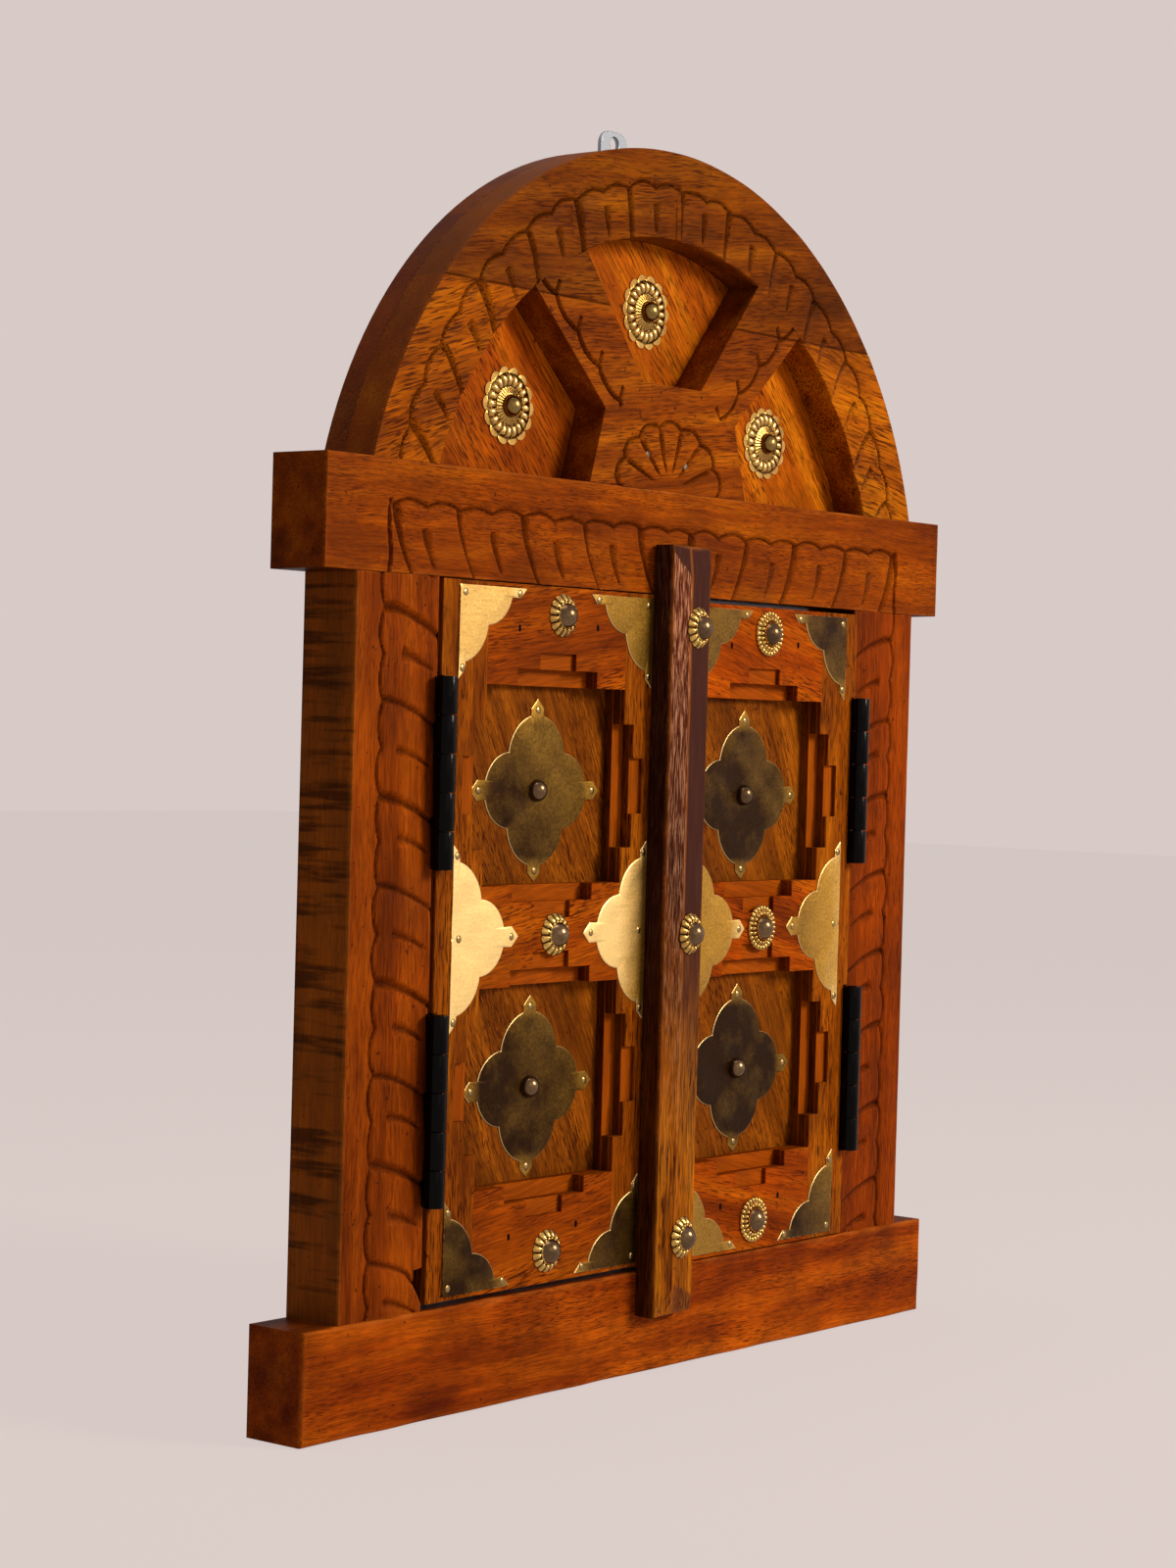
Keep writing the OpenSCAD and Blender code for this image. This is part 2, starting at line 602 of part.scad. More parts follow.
// one blank with four round lobes and four pointed tips
module foil(x, z) translate([x, 0, z]) rotate([90, 0, 0]) {
    for (side = [-1, 1]) {
        translate([side * side_lobe_x, 0, 0]) cylinder(r = side_lobe_r, h = sheet_t);
        translate([0, side * end_lobe_z, 0]) cylinder(r = end_lobe_r, h = sheet_t);
    }
    for (side = [0, 1]) {
        mirror([side, 0, 0]) linear_extrude(sheet_t) polygon([
            [foil_w / 2, 0], [foil_w / 2 - tip_half, tip_half], [foil_w / 2 - tip_half * 2, tip_half * 0.86],
            [side_lobe_x, tip_half], [side_lobe_x, -tip_half],
            [foil_w / 2 - tip_half * 2, -tip_half * 0.86], [foil_w / 2 - tip_half, -tip_half]]);
        mirror([0, side, 0]) linear_extrude(sheet_t) polygon([
            [0, foil_h / 2], [tip_half, foil_h / 2 - tip_half], [tip_half * 0.86, foil_h / 2 - tip_half * 1.6],
            [tip_half, end_lobe_z], [-tip_half, end_lobe_z],
            [-tip_half * 0.86, foil_h / 2 - tip_half * 1.6], [-tip_half, foil_h / 2 - tip_half]]);
    }
}
module foil_half(x, z, side) intersection() {
    foil(x, z);
    translate([side > 0 ? x : x - foil_w, -sheet_t - cut, z - foil_h])
        cube([foil_w, sheet_t + 2 * cut, 2 * foil_h]);
}
module foil_quarter(x, z, side, up) intersection() {
    foil_half(x, z, side);
    translate([x - foil_w, -sheet_t - cut, up > 0 ? z : z - foil_h])
        cube([2 * foil_w, sheet_t + 2 * cut, foil_h]);
}
module full_plate(z) difference() {
    translate([0, leaf_frame, 0]) foil(pane_x, z);
    facing(pane_x, leaf_frame + cut, z) cylinder(r = shank_hole, h = sheet_t + 2 * cut);
}
module corners(edge) {
    foil_quarter(plate_inset, plate_margin, 1, 1);
    foil_quarter(plate_inset, leaf_h - plate_margin, 1, -1);
    foil_quarter(edge, plate_margin, -1, 1);
    foil_quarter(edge, leaf_h - plate_margin, -1, -1);
}

// woodwork of one leaf
plate_z = [for (z = [z_low, z_up]) z + pane_h / 2 - plate_drop];

module niches() for (z = [z_low, z_up]) {
    translate([pane_x - niche_long / 2, -cut, z - niche_step])
        cube([niche_long, niche_deep + cut, pane_h + 2 * niche_step]);
    translate([pane_x - niche_short / 2, -cut, z - 2 * niche_step])
        cube([niche_short, niche_shallow + cut, pane_h + 4 * niche_step]);
    translate([hinge_stile_w - niche_step, -cut, z + pane_h / 2 - niche_long / 2])
        cube([pane_w + 2 * niche_step, niche_deep + cut, niche_long]);
    translate([hinge_stile_w - 2 * niche_step, -cut, z + pane_h / 2 - niche_short / 2])
        cube([pane_w + 4 * niche_step, niche_shallow + cut, niche_short]);
}
module stud_holes(aside) for (z = stud_z) facing(pane_x + aside, shank_len, z)
    cylinder(r = shank_hole, h = shank_len + cut);

module back_board(front) difference() {
    translate([0, leaf_frame, 0]) cube([leaf_w, leaf_board, leaf_h]);
    for (z = plate_z) facing(pane_x, leaf_frame + shank_len, z) cylinder(r = shank_hole, h = shank_len + cut);
    hinge_gains(front);
}
module hinge_stile(front) difference() {
    cube([hinge_stile_w, leaf_frame, leaf_h]);
    niches();
    hinge_gains(front);
}
module meeting_stile() difference() {
    translate([leaf_w - meet_stile_w, 0, 0]) cube([meet_stile_w, leaf_frame, leaf_h]);
    niches();
}
module rail(z, high, aside) difference() {
    translate([hinge_stile_w, 0, z]) cube([pane_w, leaf_frame, high]);
    niches();
    stud_holes(aside);
}

module cups(aside) for (z = stud_z) facing(pane_x + aside, 0, z) cup();
module bead_studs(aside) for (z = stud_z) facing(pane_x + aside, 0, z) bead_rosette();
module stud_domes(lift, aside) for (z = stud_z) facing(pane_x + aside, 0, z) dome(dome_r, dome_high, lift);
module dome_nails() for (z = plate_z) facing(pane_x, leaf_frame, z) dome(nail_r, nail_r, sheet_t);

// butt hinges: three knuckles on the jamb, two on the leaf
knuckle_len = hinge_len / knuckles;
module barrel(front, z, r, len) translate([-hinge_gap / 2, front - pin_y, z]) cylinder(r = r, h = len);
module hinge_gains(front) for (z = hinge_z) {
    barrel(front, z - hinge_len / 2 - knuckle_gap, barrel_r + knuckle_gap, hinge_len + 2 * knuckle_gap);
    translate([-hinge_gap - hinge_t, front - pin_y, z - hinge_len / 2 - shank_gap])
        cube([hinge_gap + 2 * hinge_t, hinge_reach + shank_gap, hinge_len + 2 * shank_gap]);
}
module hinge_half(front, x, first) for (z = hinge_z) difference() {
    union() {
        translate([x, front - pin_y + barrel_r + knuckle_gap, z - hinge_len / 2])
            cube([hinge_t, hinge_reach - barrel_r - knuckle_gap, hinge_len]);
        for (i = [first:2:knuckles - 1]) {
            barrel(front, z - hinge_len / 2 + i * knuckle_len + knuckle_gap / 2, barrel_r, knuckle_len - knuckle_gap);
            translate([x, front - pin_y, z - hinge_len / 2 + i * knuckle_len + knuckle_gap / 2])
                cube([hinge_t, barrel_r + knuckle_gap + hinge_t, knuckle_len - knuckle_gap]);
        }
    }
    barrel(front, z - hinge_len / 2 - cut, pin_r + pin_gap, hinge_len + 2 * cut);
}
module pins(front) for (z = hinge_z) barrel(front, z - hinge_len / 2, pin_r, hinge_len);

module hinge_jamb_left() color("black") place() on_left() hinge_half(left_front, -hinge_gap - hinge_t, 0);
module hinge_jamb_right() color("black") place() on_right() hinge_half(right_front, -hinge_gap - hinge_t, 0);
module hinge_pins_left() color("dimgray") place() on_left() pins(left_front);
module hinge_pins_right() color("dimgray") place() on_right() pins(right_front);

module left_back_board() color("saddlebrown") place() on_left() back_board(left_front);
module left_hinge_stile() color("peru") place() on_left() hinge_stile(left_front);
module left_meeting_stile() color("peru") place() on_left() meeting_stile();
module left_top_rail() color("chocolate") place() on_left() rail(z_top, top_rail_h, stud_aside);
module left_mid_rail() color("chocolate") place() on_left() rail(z_mid, mid_rail_h, stud_aside);
module left_bottom_rail() color("chocolate") place() on_left() rail(0, bottom_rail_h, stud_aside);
module left_plate_lower() color("gold") place() on_left() full_plate(plate_z[0]);
module left_plate_upper() color("gold") place() on_left() full_plate(plate_z[1]);
module left_half_hinge() color("gold") place() on_left() foil_half(plate_inset, stud_z[1], 1);
module left_half_meeting() color("gold") place() on_left() foil_half(left_edge, stud_z[1], -1);
module left_corner_plates() color("gold") place() on_left() corners(left_edge);
module left_cups() color("gold") place() on_left() cups(stud_aside);
module left_stud_domes() color("dimgray") place() on_left() stud_domes(cup_h, stud_aside);
module left_dome_nails() color("darkgoldenrod") place() on_left() dome_nails();
module left_hinge_leaves() color("black") place() on_left() hinge_half(left_front, 0, 1);

module right_back_board() color("saddlebrown") place() on_right() back_board(right_front);
module right_hinge_stile() color("peru") place() on_right() hinge_stile(right_front);
module right_meeting_stile() color("peru") place() on_right() difference() {
    meeting_stile();
    for (z = stud_z) on_slope(z) translate([0, 0, -strip_shank]) cylinder(r = shank_hole, h = strip_shank);
}
module right_top_rail() color("chocolate") place() on_right() rail(z_top, top_rail_h, -stud_aside);
module right_mid_rail() color("chocolate") place() on_right() rail(z_mid, mid_rail_h, -stud_aside);
module right_bottom_rail() color("chocolate") place() on_right() rail(0, bottom_rail_h, -stud_aside);
module right_plate_lower() color("gold") place() on_right() full_plate(plate_z[0]);
module right_plate_upper() color("gold") place() on_right() full_plate(plate_z[1]);
module right_half_hinge() color("gold") place() on_right() foil_half(plate_inset, stud_z[1], 1);
module right_half_meeting() color("gold") place() on_right() foil_half(right_edge, stud_z[1], -1);
module right_corner_plates() color("gold") place() on_right() corners(right_edge);
module right_bead_rosettes() color("gold") place() on_right() bead_studs(-stud_aside);
module right_stud_domes() color("dimgray") place() on_right() stud_domes(bead_h, -stud_aside);
module right_dome_nails() color("darkgoldenrod") place() on_right() dome_nails();
module right_hinge_leaves() color("black") place() on_right() hinge_half(right_front, 0, 1);

// the strip is fixed on the right leaf and covers the meeting gap: a flat part on the left,
// a part that slopes to the right, and slanted cuts over both ends
strip_edge = opening_w / 2 - hinge_gap - strip_right;
strip_low = -strip_down - right_lift;
strip_high = opening_h + strip_up - right_lift;
strip_shank = strip_d + shank_len;
end_turn = atan((end_bevel - end_start) / (strip_w - chamfer_w));
end_reach = strip_w * sin(end_turn) + end_start * cos(end_turn);

module strip_end() translate([0, 0, -end_start]) rotate([0, end_turn, 0]) translate([-strip_w, 0, 0])
    rotate([90, 0, 90]) linear_extrude(3 * strip_w)
        polygon([[0, 0], [2 * end_drop, 2 * end_reach], [-cut, 2 * end_reach], [-cut, 0]]);
module strip_body() difference() {
    translate([strip_edge, -strip_d, strip_low]) cube([strip_w, strip_d, strip_high - strip_low]);
    translate([strip_edge, -strip_d, strip_low - cut]) linear_extrude(strip_high - strip_low + 2 * cut)
        polygon([[-cut, -cut], [chamfer_w, -cut], [chamfer_w, 0], [0, chamfer_d], [-cut, chamfer_d]]);
    for (end = [0, 1]) translate([strip_edge + strip_w, -strip_d, end ? strip_high : strip_low])
        mirror([0, 0, 1 - end]) mirror([1, 0, 0]) strip_end();
}
module on_slope(z)
    translate([strip_edge + strip_stud_in, chamfer_d * (1 - strip_stud_in / chamfer_w) - strip_d, z])
        rotate([0, 0, -atan(chamfer_d / chamfer_w)]) rotate([90, 0, 0]) children();
module cover_strip() color("brown") place() on_right() difference() {
    strip_body();
    for (z = stud_z) on_slope(z) translate([0, 0, -strip_shank]) cylinder(r = shank_hole, h = 2 * strip_shank);
}
module strip_cups() color("gold") place() on_right() for (z = stud_z) on_slope(z) cup();
module strip_domes() color("dimgray") place() on_right() for (z = stud_z) on_slope(z) {
    dome(dome_r, dome_high, cup_h);
    translate([0, 0, cut - strip_shank]) cylinder(r = shank_r, h = strip_shank);
}

sill();
lintel();
jamb_left();
jamb_right();
arch_back_board();
arch_crown();
arch_leg_left();
arch_leg_right();
arch_fan_centre();
arch_rosettes();
arch_dome_nails();
hanger_plate();
hanger_screws();
hinge_jamb_left();
hinge_jamb_right();
hinge_pins_left();
hinge_pins_right();
left_back_board();
left_hinge_stile();
left_meeting_stile();
left_top_rail();
left_mid_rail();
left_bottom_rail();
left_plate_lower();
left_plate_upper();
left_half_hinge();
left_half_meeting();
left_corner_plates();
left_cups();
left_stud_domes();
left_dome_nails();
left_hinge_leaves();
right_back_board();
right_hinge_stile();
right_meeting_stile();
right_top_rail();
right_mid_rail();
right_bottom_rail();
right_plate_lower();
right_plate_upper();
right_half_hinge();
right_half_meeting();
right_corner_plates();
right_bead_rosettes();
right_stud_domes();
right_dome_nails();
right_hinge_leaves();
cover_strip();
strip_cups();
strip_domes();
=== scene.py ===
import bmesh
import bpy
import numpy as np
from mathutils import Matrix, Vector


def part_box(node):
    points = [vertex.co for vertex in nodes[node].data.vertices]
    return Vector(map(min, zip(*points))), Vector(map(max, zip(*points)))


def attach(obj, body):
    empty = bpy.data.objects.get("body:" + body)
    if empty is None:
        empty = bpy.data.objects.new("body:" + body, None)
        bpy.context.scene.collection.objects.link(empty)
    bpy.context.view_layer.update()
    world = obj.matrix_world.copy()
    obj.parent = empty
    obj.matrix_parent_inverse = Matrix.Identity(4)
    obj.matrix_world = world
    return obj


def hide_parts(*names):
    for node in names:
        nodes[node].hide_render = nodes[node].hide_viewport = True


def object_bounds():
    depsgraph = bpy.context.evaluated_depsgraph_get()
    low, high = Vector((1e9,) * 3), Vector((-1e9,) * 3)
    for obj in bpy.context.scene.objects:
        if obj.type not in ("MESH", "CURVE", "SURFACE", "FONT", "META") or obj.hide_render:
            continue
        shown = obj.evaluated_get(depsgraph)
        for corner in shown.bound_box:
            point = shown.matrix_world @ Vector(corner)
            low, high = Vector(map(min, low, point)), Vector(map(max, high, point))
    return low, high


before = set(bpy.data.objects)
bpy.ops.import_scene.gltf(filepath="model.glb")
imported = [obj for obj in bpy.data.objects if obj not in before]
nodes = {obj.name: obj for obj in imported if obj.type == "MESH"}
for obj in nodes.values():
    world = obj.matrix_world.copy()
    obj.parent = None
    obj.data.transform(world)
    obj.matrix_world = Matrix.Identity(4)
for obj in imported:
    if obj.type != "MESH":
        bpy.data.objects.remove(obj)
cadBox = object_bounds()
scene = bpy.context.scene
scene.view_settings.view_transform = "Standard"
mm = 0.001
sides = (("left", "left_leaf"), ("right", "right_leaf"))


def span(name):
    # lowest and highest corner of a CAD node, in millimetres
    lo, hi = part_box(name)
    return np.array(lo) / mm, np.array(hi) / mm


def toLinear(hexColour):
    # sRGB hex to linear RGBA: below 0.04045 c/12.92, above it ((c+0.055)/1.055)^2.4
    c = np.array([int(hexColour[i:i + 2], 16) for i in (1, 3, 5)]) / 255
    c = np.where(c <= 0.04045, c / 12.92, ((c + 0.055) / 1.055) ** 2.4)
    return (*c.tolist(), 1.0)


def addNode(tree, kind, inputs=(), out=0, stops=(), **settings):
    # one node: its settings, its inputs by order or by name (values, hex colours or links) and a ramp's stops;
    # gives the output asked for, or the node itself where out is None
    node = tree.nodes.new("ShaderNode" + kind)
    for name, value in settings.items():
        setattr(node, name, value)
    for key, value in inputs.items() if isinstance(inputs, dict) else enumerate(inputs):
        if isinstance(value, bpy.types.NodeSocket):
            tree.links.new(value, node.inputs[key])
        else:
            node.inputs[key].default_value = toLinear(value) if isinstance(value, str) else value
    if stops:
        elements = node.color_ramp.elements
        while len(elements) < len(stops):
            elements.new(0.5)
        for element, (place, colour) in zip(elements, stops):
            element.position, element.color = place, toLinear(colour)
    return node if out is None else node.outputs[out]


def newMaterial(name):
    material = bpy.data.materials.new(name)
    material.use_nodes = True
    material.node_tree.nodes.clear()
    return material, material.node_tree


def layered(tree, colour, layers):
    # lays (how, factor, tint) layers over a colour, one after the other
    for how, factor, tint in layers:
        colour = addNode(tree, "Mix", {"Factor": factor, "A": colour, "B": tint}, "Result", data_type="RGBA",
                         blend_type=how)
    return colour


def gridQuads(rows, cols, wrap=False):
    # corner numbers of the quads on a grid; wrap joins the last column to the first
    r = np.arange(rows - 1)[:, None]
    c = np.arange(cols if wrap else cols - 1)[None, :]
    n = (c + 1) % cols
    return np.stack([r * cols + c, r * cols + n, (r + 1) * cols + n, (r + 1) * cols + c], -1).reshape(-1, 4)


def putPiece(name, parts, material, body, replaced=(), sharpAngle=40.0):
    # parts are (points in mm, faces, groove values, tone values); they become one merged mesh, faces outward
    points, faces, groove, tone, start = [], [], [], [], 0
    for pts, quads, dark, *rest in parts:
        points.append(pts.reshape(-1, 3))
        count = len(points[-1])
        faces += (np.asarray(quads) + start).tolist()
        groove.append(np.broadcast_to(np.asarray(dark, float).ravel(), (count,)))
        tone.append(np.broadcast_to(np.asarray(rest[0] if rest else 0.5, float).ravel(), (count,)))
        start += count
    mesh = bpy.data.meshes.new(name)
    mesh.from_pydata((np.concatenate(points) * mm).tolist(), [], faces)
    for label, values in (("groove", groove), ("tone", tone)):
        mesh.attributes.new(label, "FLOAT", "POINT").data.foreach_set("value", np.concatenate(values))
    work = bmesh.new()
    work.from_mesh(mesh)
    bmesh.ops.remove_doubles(work, verts=work.verts, dist=0.002 * mm)
    bmesh.ops.recalc_face_normals(work, faces=work.faces)
    work.to_mesh(mesh)
    work.free()
    mesh.shade_smooth()
    mesh.set_sharp_from_angle(angle=np.radians(sharpAngle))
    piece = bpy.data.objects.new(name, mesh)
    scene.collection.objects.link(piece)
    mesh.materials.append(material)
    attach(piece, body)
    if replaced:
        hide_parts(*replaced)


def waves(a, b, seed):
    # smooth made-up unevenness in -1..1: a sum of crossed sines with fixed phases
    total = 0
    for k in range(4):
        fa, fb = 0.7 + 0.9 * k + 0.13 * seed, 0.5 + 1.1 * k + 0.07 * seed
        total = total + np.sin(fa * a + 1.7 * k + seed) * np.cos(fb * b + 2.3 * k - seed) / (1 + 0.5 * k)
    return total / 2.2


# Old oiled hardwood: an amber to red-brown body, slow figure along the grain, short dark pores in patches,
# stained clouds, small dents, painted shade and grime in the cuts and paler worn edges with painted highlight. Sizes
# are in mm, length before width.
woodLook = {
    "figure": (130.0, 13.0), "fibre": (30.0, 0.9), "pore": (8.0, 0.52), "patch": (70.0, 20.0), "streak": (9.0, 0.6),
    "cloud": 38.0, "dent": 2.6, "bend": 55.0, "bendBy": 5.0, "burnt": 20.0, "burntLine": 3.5,
    "roughness": (0.4, 0.62), "specular": 0.022, "poreDepth": 0.09, "swell": 0.35, "bump": 0.5,
    "inPores": "#360F01", "inDents": "#1E0A01", "shadeInCuts": "#240B01", "rubbedSheen": "#C9742C",
    "shadedSide": "#220A02", "aged": "#7E5220", "burntTo": "#0C0502", "nicheShade": "#240A01", "nicheFloor": "#B8580A",
}


def makeWood(name, light, mid, dark, grain="x", seed=0.0, turn=(0, 0, 0), pores=0.6, fibre=0.3, cloud=0.3,
             carved=False, scorch=None, fade=None, poreSize=1.0, strips=0.0, flank=None, niches=None, rim=None):
    look = woodLook
    material, tree = newMaterial(name)
    own = addNode(tree, "TexCoord", out="Object")
    split = addNode(tree, "SeparateXYZ", [own], None).outputs
    place = addNode(tree, "Mapping", [own, (seed * 0.37, seed * 0.23, seed * 0.31), turn])
    bend = addNode(tree, "TexNoise", {"Vector": place, "Scale": 1000 / look["bend"], "Detail": 1.0}, "Color")
    bend = addNode(tree, "VectorMath", [bend, (0.5, 0.5, 0.5)], operation="SUBTRACT")
    bend = addNode(tree, "VectorMath", {0: bend, "Scale": look["bendBy"] * mm}, operation="SCALE")
    bent = addNode(tree, "VectorMath", [place, bend], operation="ADD")

    def alongGrain(size, detail, rough=0.55):
        # noise drawn out along the grain, one cell is size[0] long and size[1] wide
        scale = [1000 / size[1]] * 3
        scale["xyz".index(grain)] = 1000 / size[0]
        vector = addNode(tree, "Mapping", {"Vector": bent, "Scale": scale})
        return addNode(tree, "TexNoise", {"Vector": vector, "Scale": 1.0, "Detail": detail,
                                          "Roughness": rough}, "Fac")

    figure = alongGrain(look["figure"], 4.0, 0.6)
    hair = alongGrain(look["fibre"], 2.0)
    stain = addNode(tree, "TexNoise", {"Vector": place, "Scale": 1000 / look["cloud"], "Detail": 4.0,
                                       "Roughness": 0.62}, "Fac")
    pore = alongGrain((look["pore"][0] * poreSize, look["pore"][1] * poreSize), 1.0)
    pore = addNode(tree, "MapRange", [pore, 0.5, 0.62])
    patch = addNode(tree, "MapRange", [alongGrain(look["patch"], 2.0), 0.36, 0.6, 0.4, 1.0])
    pitted = addNode(tree, "Math", [pore, patch], operation="MULTIPLY")
    pitted = addNode(tree, "Math", [pitted, pores], operation="MULTIPLY")
    dent = addNode(tree, "TexNoise", {"Vector": place, "Scale": 1000 / look["dent"], "Detail": 1.0}, "Fac")
    layers = [("MULTIPLY", 1.0, addNode(tree, "MapRange", [hair, 0.3, 0.7, 1 - fibre, 1 + 0.6 * fibre])),
              ("MULTIPLY", 1.0, addNode(tree, "MapRange", [stain, 0.32, 0.68, 1 - cloud, 1 + 0.5 * cloud])),
              ("MIX", pitted, look["inPores"]),
              ("MIX", addNode(tree, "MapRange", [dent, 0.72, 0.78, 0.0, 0.7]), look["inDents"])]
    if strips:                                 # glued from strips this wide, each of its own tone
        strip = addNode(tree, "SeparateXYZ", [bent], "Z" if grain == "x" else "X")
        strip = addNode(tree, "Math", [strip, 1000 / strips], operation="MULTIPLY")
        strip = addNode(tree, "Math", [strip], operation="FLOOR")
        strip = addNode(tree, "TexWhiteNoise", {"W": strip}, noise_dimensions="1D")
        layers.append(("MULTIPLY", 1.0, addNode(tree, "ValToRGB", [strip], stops=[
            (0.0, "#D2B096"), (0.5, "#EEDCC6"), (1.0, "#FFF6E4")])))
    if fade:                                   # other tones towards the upper end: foot, top, flat, slope
        low, high, onFlat, onSlope = fade
        height = addNode(tree, "MapRange", [split["Z"], low * mm, high * mm])
        part = addNode(tree, "MapRange", [height, 0.1, 0.75, -0.2, 0.75])
        part = addNode(tree, "Math", [figure, part], operation="ADD")
        slope = addNode(tree, "Attribute", out="Fac", attribute_name="tone")
        streak = addNode(tree, "ValToRGB", [alongGrain(look["streak"], 3.0)], stops=[
            (0.36, "#34100A"), (0.5, onFlat), (0.62, "#B98464")])
        streak = layered(tree, streak, [("MULTIPLY", 1.0, addNode(tree, "MapRange", [height, 0.6, 0.95, 0.5, 1.0]))])
        smooth = addNode(tree, "MapRange", [hair, 0.3, 0.7, 0.75, 1.3])
        smooth = layered(tree, onSlope, [("MULTIPLY", 1.0, smooth)])
        layers += [("MIX", addNode(tree, "MapRange", [part, 0.45, 0.95]),
                    layered(tree, streak, [("MIX", slope, smooth)])),
                   ("MIX", addNode(tree, "MapRange", [slope, 1.2, 2.0, 0.0, 0.6]), smooth)]
    if flank is not None:                      # painted shade: the side face at this X darkened
        side = addNode(tree, "MapRange", [split["X"], (flank + 0.8) * mm, (flank + 0.3) * mm, 0.0, 0.75])
        layers.append(("MIX", side, look["shadedSide"]))
    if scorch is not None:                     # burnt bands across the side face at this X
        side = addNode(tree, "MapRange", [split["X"], (scorch + 0.8) * mm, scorch * mm])
        band = addNode(tree, "Mapping", {"Vector": place, "Scale": (1, 9, 1000 / look["burnt"])})
        band = addNode(tree, "TexNoise", {"Vector": band, "Scale": 1.0, "Detail": 5.0, "Roughness": 0.7}, "Fac")
        line = addNode(tree, "Mapping", {"Vector": place, "Scale": (1, 16, 1000 / look["burntLine"])})
        line = addNode(tree, "TexNoise", {"Vector": line, "Scale": 1.0, "Detail": 2.0}, "Fac")
        line = addNode(tree, "MapRange", [line, 0.3, 0.7, -0.14, 0.14])
        band = addNode(tree, "Math", [band, line], operation="ADD")
        band = addNode(tree, "MapRange", [band, 0.5, 0.63])
        band = addNode(tree, "Math", [band, side], operation="MULTIPLY")
        layers += [("MIX", addNode(tree, "Math", [side, 0.35], operation="MULTIPLY"), look["aged"]),
                   ("MIX", addNode(tree, "Math", [band, 0.7], operation="MULTIPLY"), look["burntTo"])]
    if niches:                                 # front of the leaf, then the depths of the niche floors
        face, *floors = niches
        bare = [addNode(tree, "Math", [split["Y"], (face + deep) * mm, 0.3 * mm], operation="COMPARE")
                for deep in floors]
        bare = addNode(tree, "Math", bare, operation="MAXIMUM")
        fresh = addNode(tree, "MapRange", [hair, 0.3, 0.7, 0.7, 1.2])
        # painted shade: all wood more than a millimetre behind the leaf's front, niche walls, floors and the leaf's
        # outer edges, is darkened by up to half
        layers += [("MIX", addNode(tree, "MapRange", [split["Y"], (face + 0.6) * mm, (face + 1.0) * mm, 0.0, 0.5]),
                    look["nicheShade"]),
                   ("MIX", addNode(tree, "Math", [bare, 0.5], operation="MULTIPLY"),
                    layered(tree, look["nicheFloor"], [("MULTIPLY", 1.0, fresh)]))]
    if rim:                                    # the planed outer rim of the arch, at archR from its centre
        out = addNode(tree, "VectorMath", [own, (archX * mm, 0, archZ * mm)], operation="SUBTRACT")
        out = addNode(tree, "VectorMath", [out, (1, 0, 1)], operation="MULTIPLY")
        out = addNode(tree, "VectorMath", [out], "Value", operation="LENGTH")
        cloudy = addNode(tree, "MapRange", [stain, 0.3, 0.7, 0.7, 1.25])
        layers.append(("MIX", addNode(tree, "MapRange", [out, (archR - 0.7) * mm, (archR - 0.3) * mm, 0.0, 0.8]),
                       layered(tree, rim, [("MULTIPLY", 1.0, cloudy)])))
    if carved:                                 # painted shade and grime in the cuts where the attribute is above 0, wear with painted highlight where it is below
        groove = addNode(tree, "Attribute", out="Fac", attribute_name="groove")
        rubbedSheen = [addNode(tree, "MapRange", [groove, 0.0, -1.0, 0.0, 0.55]),
                  addNode(tree, "MapRange", [stain, 0.35, 0.6, 0.3, 1.0])]
        # the cuts are darkened as painted shade and grime, the edges paled as wear and painted highlight
        layers += [("MIX", addNode(tree, "MapRange", [groove, 0.1, 1.0, 0.0, 0.85]), look["shadeInCuts"]),
                   ("MIX", addNode(tree, "Math", rubbedSheen, operation="MULTIPLY"), look["rubbedSheen"])]
    colour = addNode(tree, "ValToRGB", [figure], stops=[(0.32, dark), (0.5, mid), (0.7, light)])
    relief = addNode(tree, "Math", [hair, pore], operation="SUBTRACT")
    bump = addNode(tree, "Bump", {"Strength": look["bump"], "Distance": look["poreDepth"] * mm, "Height": relief})
    bump = addNode(tree, "Bump", {"Strength": look["bump"], "Distance": look["swell"] * mm, "Height": stain,
                                  "Normal": bump})
    shader = addNode(tree, "BsdfPrincipled", {
        "Base Color": layered(tree, colour, layers), "Normal": bump, "Specular IOR Level": look["specular"],
        "Roughness": addNode(tree, "MapRange", [stain, 0.3, 0.7, *look["roughness"]])})
    addNode(tree, "OutputMaterial", {"Surface": shader}, None)
    return material


# Sheet brass, cut by hand: soft hollows, fine scratches and tarnish spots. The tone attribute goes from
# brown tarnish (0) to rubbed gold (1), partly painted reflection, the groove attribute from rubbed edges with
# painted highlight (-1) to grime with painted shade (1). Sizes are in mm.
brassLook = {"hollow": 20.0, "hollowDepth": 0.4, "spot": 1.5, "speck": 1.1, "scratch": (12.0, 0.3),
             "scratchTurn": 0.9, "scratchDepth": 0.04, "scratchBump": 0.03, "grimeAndShade": "#2A1806", "rubbedSheen": "#E9C888",
             "tarnishGloss": 0.08}


